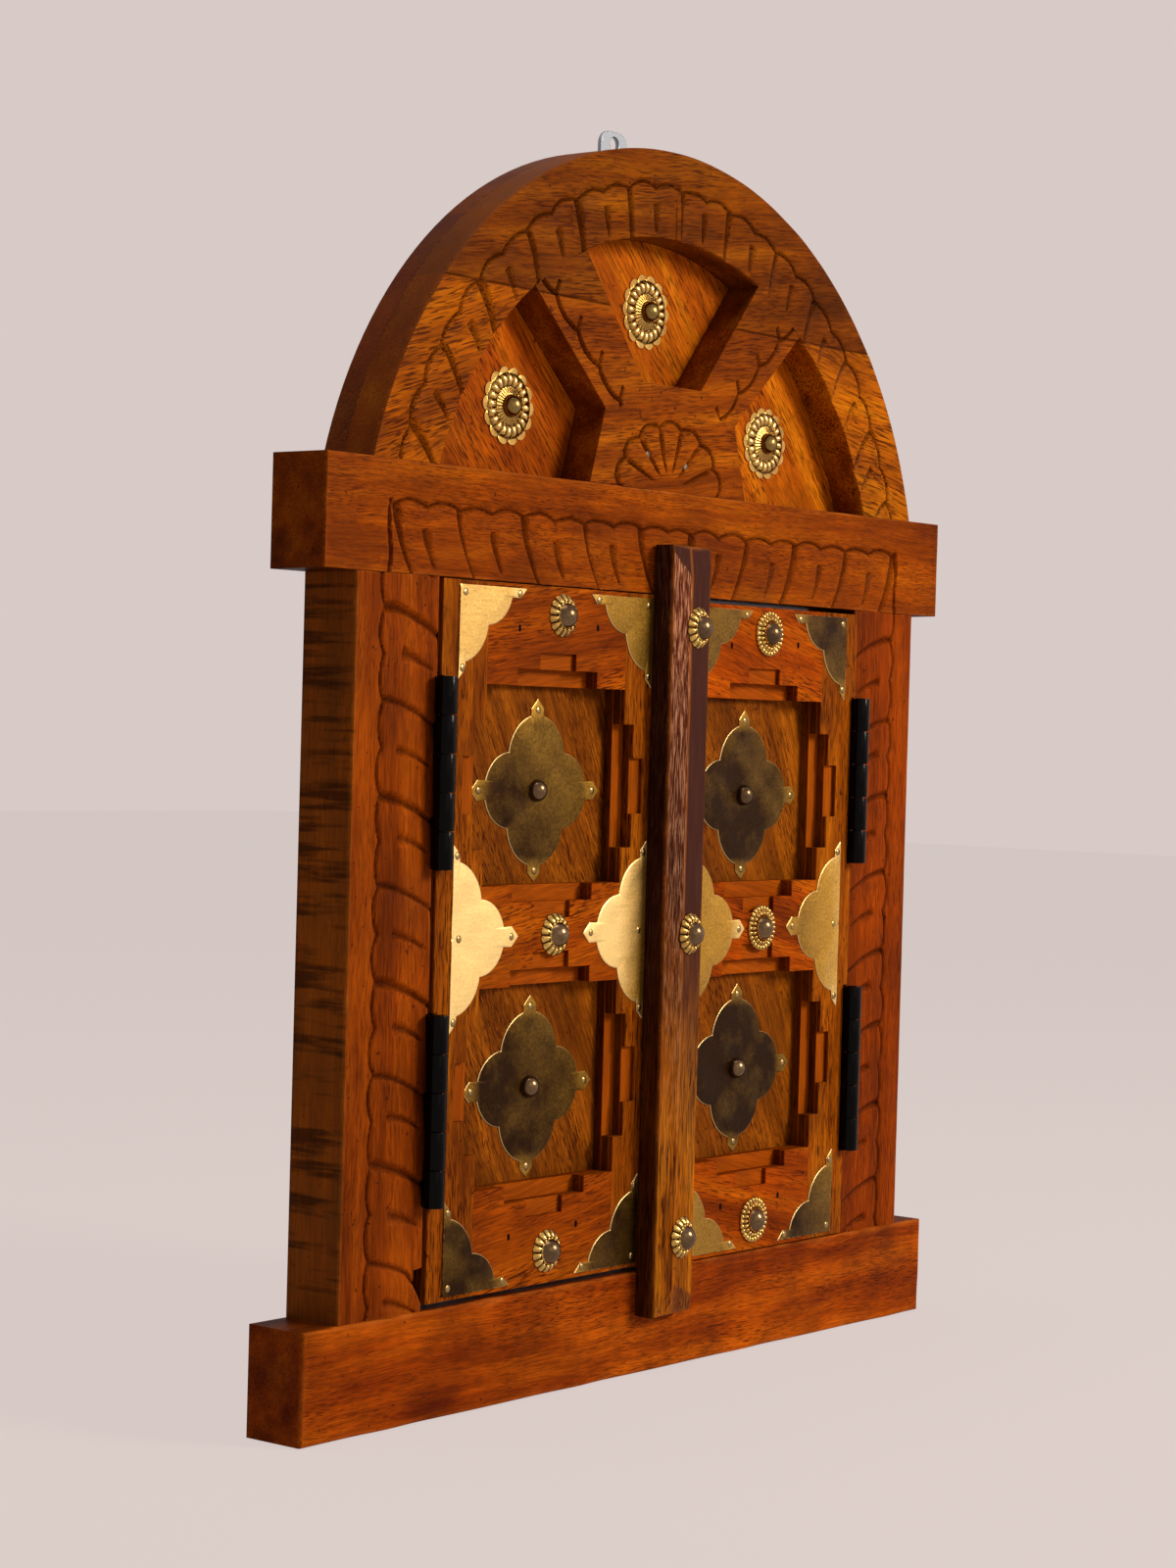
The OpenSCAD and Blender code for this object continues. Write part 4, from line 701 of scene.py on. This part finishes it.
def fanRelief(x, z):
    # half flower: seven petals with rounded ends, parted by V cuts; spokes: a lobed leaf edge along each
    dx, dz = x - archX, z - archFoot
    halfW, halfH = footX - fan["flowerSide"], floorZ - archFoot - fan["flowerTop"]
    a = np.arctan2(dz / halfH, dx / halfW)
    rho = np.hypot(dx / halfW, dz / halfH) / fan["flowerShare"]
    n = fan["petals"]
    wobble = 0.3 * waves(x / 6, z / 6, 7)
    rim = 1 + 0.1 * np.abs(np.sin(a * n)) ** 0.7
    away = (rho - rim) * halfW * fan["round"] + wobble
    outline = vee(away, cut["lineHalf"] * 1.2)
    outside = 0.5 * np.exp(-np.clip(away, 0, None) / 3) * (away > 0)
    g = a * n / np.pi
    beside = (g - np.round(g)) * np.pi / n * rho * halfW * fan["round"] + wobble
    parted = (np.round(g) > 0) & (np.round(g) < n)
    seam = vee(beside, 1.5 * np.clip(rho * 1.3, 0.3, 1)) * parted
    seam = seam * np.clip((rim - rho) * 9, 0, 1) * np.clip(rho * 5 - 1, 0, 1)
    bowl = 0.6 * np.clip(1 - rho / rim, 0, 1) * (rho < rim)
    ax, az = kneeX + fan["spokeFrom"][0], kneeZ + fan["spokeFrom"][1]
    bx, bz = apexX + fan["spokeTo"][0], jointZ + fan["spokeTo"][1]
    long = np.hypot(bx - ax, bz - az)
    px, pz = np.abs(dx) - ax, z - az
    along, off = (px * (bx - ax) + pz * (bz - az)) / long, (-px * (bz - az) + pz * (bx - ax)) / long
    phase = along / long * fan["spokeLobes"] + 0.15 * (dx > 0)
    lobe = np.abs(np.sin(np.pi * phase)) ** 0.7
    here = (along > -2) & (along < long + 25)
    edge = off + fan["spokeWave"] * lobe - fan["spokeWave"] / 2 + wobble
    spoke = vee(edge, 1.15) * here
    lower = 0.55 * np.exp(-np.clip(-edge, 0, None) / 3) * (edge < 0) * here
    nick = vee((phase - np.round(phase)) * long / fan["spokeLobes"] - 0.4 * off, 1.2)
    nick = nick * (off > 0.5) * (off < 6.5) * here
    depth = np.maximum.reduce([cut["lineDepth"] * outline, outside, cut["grooveDepth"] * seam, bowl,
                               cut["grooveDepth"] * spoke, lower, cut["lineDepth"] * nick])
    # dark: painted shade and grime down the outline, seams, spoke edges and nicks
    dark = np.maximum.reduce([0.85 * outline ** 1.5, 0.8 * seam ** 1.5, 0.8 * spoke ** 1.5, 0.6 * nick ** 1.5])
    return depth, dark


fanPatches = [
    ([(-footX, archFoot), (footX, archFoot), (kneeX, kneeZ), (-kneeX, kneeZ)], (0, 1, 3)),
    ([(-kneeX, kneeZ), (kneeX, kneeZ), (floorX, floorZ), (-floorX, floorZ)], (2,)),
    ([(-kneeX, kneeZ), (-floorX, floorZ), (-topJointX, jointZ), (-sideJointX, jointZ)], (1, 2, 3)),
    ([(floorX, floorZ), (kneeX, kneeZ), (sideJointX, jointZ), (topJointX, jointZ)], (1, 2, 3)),
]
fanParts = []
for corners, walls in fanPatches:
    x, z = quadPatch(corners, cut["step"])
    depth, dark = joint(*fanRelief(x + archX, z), np.abs(z - jointZ))
    fanParts += boardParts(x + archX, z, front, back, depth, dark, walls)
for sign in (-1, 1):
    corners = [(topJointX, jointZ), (sideJointX, jointZ), (apexX, apexZ), (topRingX, topRingZ)]
    x, z = quadPatch([(sign * a, b) for a, b in corners], cut["step"])
    q = np.linspace(0, 1, len(x))[:, None]     # the upper edge is pushed out from the chord to the ring
    out = ringR / np.hypot(x[-1], z[-1] - archZ) - 1
    x, z = x + q * out * x[-1], z + q * out * (z[-1] - archZ)
    depth, dark = joint(*fanRelief(x + archX, z), np.abs(z - jointZ))
    patches["arch_crown"] += boardParts(x + archX, z, front, back, depth, dark, (0, 1, 3))
patches["arch_fan_centre"] = fanParts
for name, parts in patches.items():
    putBoard(name, parts)
print("arch boards carved")


# brass plates: a four-lobed blank, whole, halved or quartered about its middle
plateLook = {"sideRound": 15.4, "sideOut": 17.0, "endRound": 17.96, "endOut": 12.79, "tip": 4.2, "sheet": 0.5,
             "hollow": 0.22, "around": 480, "rings": 44, "tipShine": 0.3, "edgeRound": 0.55,
             "probes": 1600}
panelLo, panelHi = span("left_plate_upper")
blankX, blankZ = (panelHi[0] - panelLo[0]) / 2, (panelHi[2] - panelLo[2]) / 2


def blankRadius(angle):
    # farthest place inside the outline along each direction: lobes are circles, tips are pointed tongues
    look = plateLook
    far = np.linspace(0, blankX, look["probes"])
    x, z = np.abs(np.cos(angle))[:, None] * far, np.abs(np.sin(angle))[:, None] * far
    inside = np.hypot(x - look["sideOut"], z) < look["sideRound"]
    inside |= np.hypot(x, z - look["endOut"]) < look["endRound"]
    for along, across, end, neck in ((x, z, blankX, 2.0), (z, x, blankZ, 1.6)):
        half = np.interp(along, [end - neck * look["tip"], end - look["tip"], end],
                         [0.86 * look["tip"], look["tip"], 0.0])
        inside |= (across <= half) & (along < end) & (along > look["endOut"])
    return (far * inside).max(1)


def plateParts(cx, cz, y, first, last, tones, seed):
    # tones: brightness, tarnish and rub with painted reflection, in the middle and its change to the right and
    # upwards over the plate
    look = plateLook
    whole = last - first > 6
    turns = int(look["around"] * (last - first) / (2 * np.pi)) + (0 if whole else 1)
    a = np.linspace(first, last, turns, endpoint=not whole)
    edge = blankRadius(a)
    q = np.linspace(0.03, 1, look["rings"])[:, None]
    r = np.concatenate([q * (edge - look["edgeRound"]), (edge - np.array([[0.35], [0.18], [0.06], [0.0]]))])
    dx, dz = r * np.cos(a), r * np.sin(a)
    turned = np.clip((r - edge + look["edgeRound"]) / look["edgeRound"], 0, 1)
    h = look["sheet"] * np.sqrt(np.clip(1 - 0.75 * turned ** 2, 0, 1))
    wave = look["hollow"] * (1 + waves((cx + dx) / 15, (cz + dz) / 13, seed)) * np.clip((edge - r) / 6, 0, 1)
    top = np.stack([cx + dx, y - h - wave, cz + dz], -1)
    base = np.stack([cx + dx, np.full_like(dx, y), cz + dz], -1)
    tone = tones[0] + tones[1] * dx / blankX + tones[2] * dz / blankZ + 0.04 * waves(dx / 11, dz / 9, seed + 5)
    tips = np.maximum(np.abs(dx) / blankX, np.abs(dz) / blankZ)
    # brighter tips: painted highlight
    tone = np.clip(tone + look["tipShine"] * np.clip((tips - 0.72) / 0.2, 0, 1), 0, 1)
    # paler turned edge: wear with painted highlight
    groove = -np.clip((turned - 0.15) * 1.6, 0, 1)
    rows = len(r)
    parts = [(top, gridQuads(rows, turns, whole), groove, tone),
             (np.stack([top[-1], base[-1]]), gridQuads(2, turns, whole), 0.2, 0.3)]
    if whole:
        parts.append((top[0], [list(range(turns))], groove[0], tone[0]))
        parts.append((base[-1], [list(range(turns))], 0.2))
    else:
        hub = np.array([[cx, y - look["sheet"], cz]])
        hubBase = np.array([[cx, y, cz]])
        spokes = [[0, i + 1, i + 2] for i in range(turns - 1)]
        parts.append((np.concatenate([hub, top[0]]), spokes, groove[0, 0], tone.mean()))
        for column in (0, -1):
            line, low = np.concatenate([hub, top[:, column]]), np.concatenate([hubBase, base[:, column]])
            parts.append((np.stack([line, low]), gridQuads(2, rows + 1), -0.5, tone.mean()))
        loop = np.concatenate([hubBase, base[:, 0], base[-1, 1:], base[:-1, -1][::-1]])
        parts.append((loop, [list(range(len(loop)))], 0.2))
    return parts


# brightness by plate, as rubbed and tarnished in place and with painted reflection: middle, to the right, upwards
plateTones = {
    "left": {"upper": (0.09, 0.1, 0.08), "lower": (0.05, 0.08, 0.02), "hinge": (1.0, 0.0, 0.05),
             "meeting": (0.52, -1.1, 0.1), "corners": [(0.02, 0, 0), (0.04, 0, 0), (0.7, 0, 0), (0.38, 0.1, 0.2)]},
    "right": {"upper": (0.02, 0.08, 0.06), "lower": (0.0, 0.05, 0.0), "hinge": (0.66, 0.5, 0.0),
              "meeting": (0.4, 0.2, 0.0), "corners": [(0.46, -0.2, 0), (0.2, 0.3, 0), (0.14, 0, 0), (0.05, 0, 0)]},
}
half = np.pi / 2
for side, body in sides:
    tones = plateTones[side]
    for which in ("upper", "lower"):
        plate = f"{side}_plate_{which}"
        lo, hi = span(plate)
        cx, cz = (lo[0] + hi[0]) / 2, (lo[2] + hi[2]) / 2
        parts = plateParts(cx, cz, hi[1], 0, 4 * half, tones[which], len(which))
        putPiece(plate + "_sheet", parts, metals["sheet"], body, [plate])
    for which in ("hinge", "meeting"):
        plate = f"{side}_half_{which}"
        lo, hi = span(plate)
        toRight = (side == "left") == (which == "hinge")
        cx, cz = lo[0] if toRight else hi[0], (lo[2] + hi[2]) / 2
        first = -half if toRight else half
        parts = plateParts(cx, cz, hi[1], first, first + 2 * half, tones[which], 3 + len(which))
        putPiece(plate + "_sheet", parts, metals["sheet"], body, [plate])
    lo, hi = span(side + "_corner_plates")
    quarters = [(lo[0], lo[2], 0), (hi[0], lo[2], 1), (hi[0], hi[2], 2), (lo[0], hi[2], 3)]
    order = [0, 1, 3, 2]                       # tones are listed low left, low right, high left, high right
    parts = []
    for cx, cz, turn in quarters:
        parts += plateParts(cx, cz, hi[1], turn * half, (turn + 1) * half, tones["corners"][order[turn]], turn)
    putPiece(side + "_corner_sheets", parts, metals["sheet"], body, [side + "_corner_plates"])
print("plates made")


def pressed(name, centres, y, size, height, body, replaced, lean=0.0):
    # pressed brass: a height h(r, a) over a plan with the rim R (1 - dip + dip |cos(n a / 2)|^power);
    # lean tips the axis to the right by this angle
    turns, rings = 240, 44
    lobes, dip, power = size["rim"]
    a = np.linspace(0, 2 * np.pi, turns, endpoint=False)[None, :]
    q = np.linspace(0, 1, rings)[:, None]
    outline = 1 - dip + dip * np.abs(np.cos(a * lobes / 2)) ** power
    r = size["radius"] * outline * (1 - q) + 0.5 * q
    h, dark = height(r / size["radius"], a)
    across = r * np.cos(a)
    parts = []
    for cx, cz in centres:
        top = np.stack([cx + across * np.cos(lean) + h * np.sin(lean), y + across * np.sin(lean) - h * np.cos(lean),
                        cz + r * np.sin(a)], -1)
        foot = np.stack([cx + across[:1] * np.cos(lean), y + across[:1] * np.sin(lean), cz + r[:1] * np.sin(a)], -1)
        parts.append((np.concatenate([foot, top]), gridQuads(rings + 1, turns, True),
                      np.concatenate([dark[:1], dark])))
        parts.append((foot, [list(range(turns))], 0.0))
        parts.append((top[-1:], [list(range(turns))], 0.0))
    putPiece(name, parts, metals["pressed"], body, replaced, 50)


def bulge(p, place, half):
    # round swelling across a ring, 1 on the ring and 0 beyond half
    return np.sqrt(np.clip(1 - ((p - place) / half) ** 2, 0, 1))


cupSize = {"radius": 8.9, "high": 2.6, "flutes": 15, "rim": (15, 0.08, 0.6)}
beadSize = {"radius": 10.0, "high": 2.2, "outer": 26, "inner": 20, "rim": (26, 0.05, 0.6)}
roseSize = {"radius": 15.8, "high": 2.0, "seeds": 20, "petals": 14, "ribs": 30, "rim": (14, 0.16, 0.5)}


def cupHeight(p, a):
    # round lobes from the seat of the dome outwards, h = body(p) * (1 - dip * (1 - lobe)), swollen at their ends
    lobe = np.sqrt(np.clip(np.abs(np.cos(a * cupSize["flutes"] / 2)), 0, 1))
    out = np.clip((p - 0.5) / 0.5, 0, 1)
    body = 0.4 + (cupSize["high"] - 0.4) * (1 - out ** 2.4) - 0.5 * bulge(p, 0.62, 0.07)
    share = np.clip((p - 0.48) / 0.16, 0, 1)
    # dark: painted shade and grime between the lobes and round the dome's seat; wear with painted highlight on the
    # lobes' swollen ends
    dark = share * (1 - lobe) * 1.6 + 0.5 * (np.abs(p - 0.62) < 0.03) - 0.35 * lobe * bulge(p, 0.72, 0.1)
    return body * (1 - 0.62 * share * (1 - lobe)), np.clip(dark, -0.4, 0.95)


def roseHeight(p, a):
    # flat tongues outside, a ring of swollen seeds, then a ribbed hollow up to the nail
    high = roseSize["high"]
    seed = np.abs(np.cos(a * roseSize["seeds"] / 2)) ** 0.5
    ring = bulge(p, 0.66, 0.17)
    tongue = np.abs(np.cos(a * roseSize["petals"] / 2)) ** 0.5
    rib = np.abs(np.cos(a * roseSize["ribs"] / 2))
    hollow = np.where(p < 0.5, 0.7 + (0.5 - p) * 5.5 + 0.22 * rib, 0)
    h = np.maximum.reduce([0.35 + 0.3 * tongue * (p > 0.8), 0.45 + (high - 0.45) * ring * (0.25 + 0.75 * seed),
                           hollow])
    # dark: painted shade and grime between the seeds, between the ribs of the hollow and along two rings; wear with
    # painted highlight on the seeds' tops
    dark = (1 - seed) * ring * 1.4 + 0.7 * (p < 0.5) * (1 - rib) + 0.8 * (np.abs(p - 0.5) < 0.025)
    dark = dark + 0.75 * (np.abs(p - 0.835) < 0.02) - 0.5 * seed * ring ** 4
    return np.minimum(h, high), np.clip(dark, -0.5, 0.95)


def beadHeight(p, a):
    # two rings of round beads on a flat disc
    high = beadSize["high"]
    along1, along2 = np.abs(np.cos(a * beadSize["outer"] / 2)), np.abs(np.cos(a * beadSize["inner"] / 2))
    b1 = bulge(p, 0.87, 0.13) * (0.2 + 0.8 * np.sqrt(along1))
    b2 = bulge(p, 0.65, 0.12) * (0.2 + 0.8 * np.sqrt(along2))
    h = 0.35 + np.maximum(b1 * high * 0.6, b2 * high * 0.85)
    # dark: painted shade and grime between the beads and on the flat disc around them
    dark = (1 - along1) * (b1 > 0) + (1 - along2) * (b2 > 0) + (b1 + b2 < 0.05)
    return np.where(p < 0.52, high, h), np.clip(dark - 0.2, -0.3, 0.9) * (p > 0.52)


def middles(name):
    # the middle of each separate solid of a node, from the gaps between its points along Z
    points = np.empty(len(nodes[name].data.vertices) * 3)
    nodes[name].data.vertices.foreach_get("co", points)
    points = points.reshape(-1, 3) / mm
    order = points[np.argsort(points[:, 2])]
    groups = np.split(order, np.nonzero(np.diff(order[:, 2]) > 8)[0] + 1)
    return [((g[:, 0].min() + g[:, 0].max()) / 2, (g[:, 2].min() + g[:, 2].max()) / 2) for g in groups]


pressed("left_cups_fluted", middles("left_cups"), span("left_cups")[1][1], cupSize, cupHeight, "left_leaf",
        ["left_cups"])
studX = stripHi[0] - strip["studIn"]
studY = stripLo[1] + strip["drop"] * (1 - strip["studIn"] / strip["width"])
pressed("strip_cups_fluted", [(studX, cz) for _, cz in middles("strip_cups")], studY, cupSize, cupHeight,
        "right_leaf", ["strip_cups"], np.arctan2(strip["drop"], strip["width"]))
pressed("right_rosettes_beaded", middles("right_bead_rosettes"), span("right_bead_rosettes")[1][1],
        beadSize, beadHeight, "right_leaf", ["right_bead_rosettes"])
roseLo, roseHi = span("arch_rosettes")
roseR = roseSize["radius"]
roseAt = [(roseLo[0] + roseR, roseLo[2] + roseR), (archX, roseHi[2] - roseR), (roseHi[0] - roseR, roseLo[2] + roseR)]
pressed("arch_rosettes_pressed", roseAt, roseHi[1], roseSize, roseHeight, "frame", ["arch_rosettes"])
print("pressed brass made")


def heads(name, places, y, radius, high, material, body, tall=1.0):
    # small heads: each a flat dome on its foot, r(q) = R cos(q), h(q) = H sin(q), stretched upwards by tall
    turns, rings = 20, 6
    a = np.linspace(0, 2 * np.pi, turns, endpoint=False)[None, :]
    q = np.linspace(0, np.pi / 2 * 0.97, rings)[:, None]
    parts = []
    for cx, cz in places:
        r = radius * np.cos(q)
        top = np.stack([cx + r * np.cos(a), y - high * np.sin(q) + 0 * a, cz + tall * r * np.sin(a)], -1)
        # groove: painted shade and grime round the foot, wear with painted highlight over the top
        parts.append((top, gridQuads(rings, turns, True), np.repeat(np.clip(0.9 - 1.6 * q, -0.3, 0.9), turns, 1)))
        parts.append((top[-1], [list(range(turns))], -0.2))
        parts.append((top[0], [list(range(turns))], 0.9))
    putPiece(name, parts, material, body)


pinSize = {"radius": 1.7, "high": 0.7, "tip": 4.8, "edge": 4.2, "corner": 3.0, "side": 2.2, "over": 0.4}
slitSize = {"radius": 0.9, "high": 0.06, "tall": 1.7, "top": ((-25, 17.5), (25, 15.5)),
            "bottom": ((-22, 21), (21, 22))}
flowerNail = {"radius": 1.7, "high": 0.4, "sunk": 1.0, "places": ((-15, 14.2), (12, 11))}
for side, body in sides:
    onFace, onPanel = [], []
    d = pinSize["tip"]
    for plate in ("plate_lower", "plate_upper"):
        lo, hi = span(f"{side}_{plate}")
        cx, cz = (lo[0] + hi[0]) / 2, (lo[2] + hi[2]) / 2
        onPanel += [(lo[0] + d, cz), (hi[0] - d, cz), (cx, lo[2] + d), (cx, hi[2] - d)]
    for plate in ("half_hinge", "half_meeting"):
        lo, hi = span(f"{side}_{plate}")
        toRight = (side == "left") == (plate == "half_hinge")
        edge, tip, way = (lo[0], hi[0], 1) if toRight else (hi[0], lo[0], -1)
        cz = (lo[2] + hi[2]) / 2
        onFace += [(tip - way * d, cz), (edge + way * pinSize["edge"], cz), (edge + way * pinSize["side"], lo[2] + d),
                   (edge + way * pinSize["side"], hi[2] - d)]
    lo, hi = span(side + "_corner_plates")
    for ex, way in ((lo[0], 1), (hi[0], -1)):
        for ez, up in ((lo[2], 1), (hi[2], -1)):
            onFace += [(ex + way * pinSize["corner"], ez + up * pinSize["corner"]),
                       (ex + way * (blankX - d), ez + up * pinSize["side"]),
                       (ex + way * pinSize["side"], ez + up * (blankZ - d))]
    panelY = span(side + "_plate_upper")[1][1]
    for group, places, y in (("_plate_pins", onFace, hi[1]), ("_panel_pins", onPanel, panelY)):
        heads(side + group, places, y - pinSize["over"], pinSize["radius"], pinSize["high"], metals["pin"], body)
    railLo, railHi = span(side + "_top_rail")
    cx, lowZ = (railLo[0] + railHi[0]) / 2, span(side + "_bottom_rail")[0][2]
    slits = [(cx + dx, railHi[2] - dz) for dx, dz in slitSize["top"]]
    slits += [(cx + dx, lowZ + dz) for dx, dz in slitSize["bottom"]]
    # nail holes in the rails: nearly flat black marks that paint the shade inside them
    heads(side + "_rail_nail_holes", slits, railLo[1], slitSize["radius"], slitSize["high"], metals["slit"], body,
          slitSize["tall"])
nails = [(archX + dx, archFoot + dz) for dx, dz in flowerNail["places"]]
heads("flower_nails", nails, front + flowerNail["sunk"], flowerNail["radius"], flowerNail["high"], metals["nail"],
      "frame")
print("pins and nails set")


# stage: a pale floor and backdrop; the part of the floor's colour that doesn't glow takes the shadow
stage = {"colour": "#D8CBC7", "reach": 6.0, "under": 0.0005, "roughness": 0.9, "share": 0.88, "glow": 1.06,
         "soft": "#FFF4EA", "softness": 0.17}


def plainRays(tree):
    # 1 for the rays that show the background as it is: from the camera, through glass and off gloss
    path = addNode(tree, "LightPath", out=None).outputs
    seen = addNode(tree, "Math", [path["Is Camera Ray"], path["Is Transmission Ray"]], operation="MAXIMUM")
    return addNode(tree, "Math", [seen, path["Is Glossy Ray"]], operation="MAXIMUM")


def stand(name, data, axes, place):
    # a lamp or camera at place; the columns of axes are its right, up and back
    holder = bpy.data.objects.new(name, data)
    holder.matrix_world = Matrix([(*row, p) for row, p in zip(axes.tolist(), place)] + [(0, 0, 0, 1)])
    scene.collection.objects.link(holder)
    return holder


groundZ = cadBox[0][2] - stage["under"]
corners = [(x * stage["reach"], y * stage["reach"], groundZ) for x, y in ((-1, -1), (1, -1), (1, 1), (-1, 1))]
floorMesh = bpy.data.meshes.new("floor")
floorMesh.from_pydata(corners, [], [(0, 1, 2, 3)])
floor = bpy.data.objects.new("floor", floorMesh)
scene.collection.objects.link(floor)
floorMaterial, tree = newMaterial("pale_floor")
matt = addNode(tree, "BsdfPrincipled", {"Base Color": stage["colour"], "Roughness": stage["roughness"],
                                        "Specular IOR Level": 0.0})
glow = addNode(tree, "Emission", {"Color": stage["colour"], "Strength": stage["glow"]})
share = addNode(tree, "Math", [plainRays(tree), stage["share"]], operation="MULTIPLY")
addNode(tree, "OutputMaterial", {"Surface": addNode(tree, "MixShader", [share, matt, glow])}, None)
floorMesh.materials.append(floorMaterial)

scene.world = bpy.data.worlds.new("studio")
scene.world.use_nodes = True
tree = scene.world.node_tree
tree.nodes.clear()
soft = addNode(tree, "Background", {"Color": stage["soft"], "Strength": stage["softness"]})
pale = addNode(tree, "Background", {"Color": stage["colour"], "Strength": 1.0})
addNode(tree, "OutputWorld", {"Surface": addNode(tree, "MixShader", [plainRays(tree), soft, pale])}, None)

# a lamp is its place, width, height, power and colour; the plates mirror the window
lamps = {"key": ((0.72, -1.6, 0.5), 0.6, 0.6, 33.0, "#FFF1E0"),
         "fill": ((-0.5, -1.8, 0.3), 1.2, 1.2, 2.2, "#FFF6EC"),
         "window": ((1.52, -1.62, -0.15), 2.4, 1.3, 3.0, "#FFF0DC"),
         "top": ((-0.28, 0.05, 1.2), 0.9, 0.9, 10.5, "#FFF4EA")}
target = np.array([0.011, -0.02, -0.25])
for name, (place, wide, high, watts, colour) in lamps.items():
    lamp = bpy.data.lights.new(name, "AREA")
    lamp.shape = "RECTANGLE"
    lamp.energy, lamp.size, lamp.size_y, lamp.color = watts, wide, high, toLinear(colour)[:3]
    away = np.array(place) - target
    away = away / np.linalg.norm(away)
    right = np.cross((0, 0, 1), away)
    right = right / np.linalg.norm(right)
    stand(name, lamp, np.stack([right, np.cross(away, right), away], 1), place)

# camera solved from the straight edges of the object, for an image of 1200 by 1600
shot = {"focal": 3312.34, "high": 1600, "yaw": -0.9001, "pitch": 0.0169, "roll": 0.0271,
        "place": (-1.0785, -0.8527, -0.2468)}
cy, sy = np.cos(shot["yaw"]), np.sin(shot["yaw"])
cp, sp = np.cos(shot["pitch"]), np.sin(shot["pitch"])
cr, sr = np.cos(shot["roll"]), np.sin(shot["roll"])
yawTurn = np.array([[cy, 0, sy], [0, 1, 0], [-sy, 0, cy]])
pitchTurn = np.array([[1, 0, 0], [0, cp, -sp], [0, sp, cp]])
rollTurn = np.array([[cr, -sr, 0], [sr, cr, 0], [0, 0, 1]])
turn = rollTurn @ pitchTurn @ yawTurn @ np.array([[1, 0, 0], [0, 0, -1], [0, 1, 0]])
lens = bpy.data.cameras.new("camera")
lens.sensor_fit = "VERTICAL"
lens.sensor_height = 36.0
lens.lens = shot["focal"] / shot["high"] * lens.sensor_height
lens.clip_start = 0.05
scene.camera = stand("camera", lens, np.stack([turn[0], -turn[1], -turn[2]], 1), shot["place"])
print("stage ready")

bpy.context.view_layer.update()
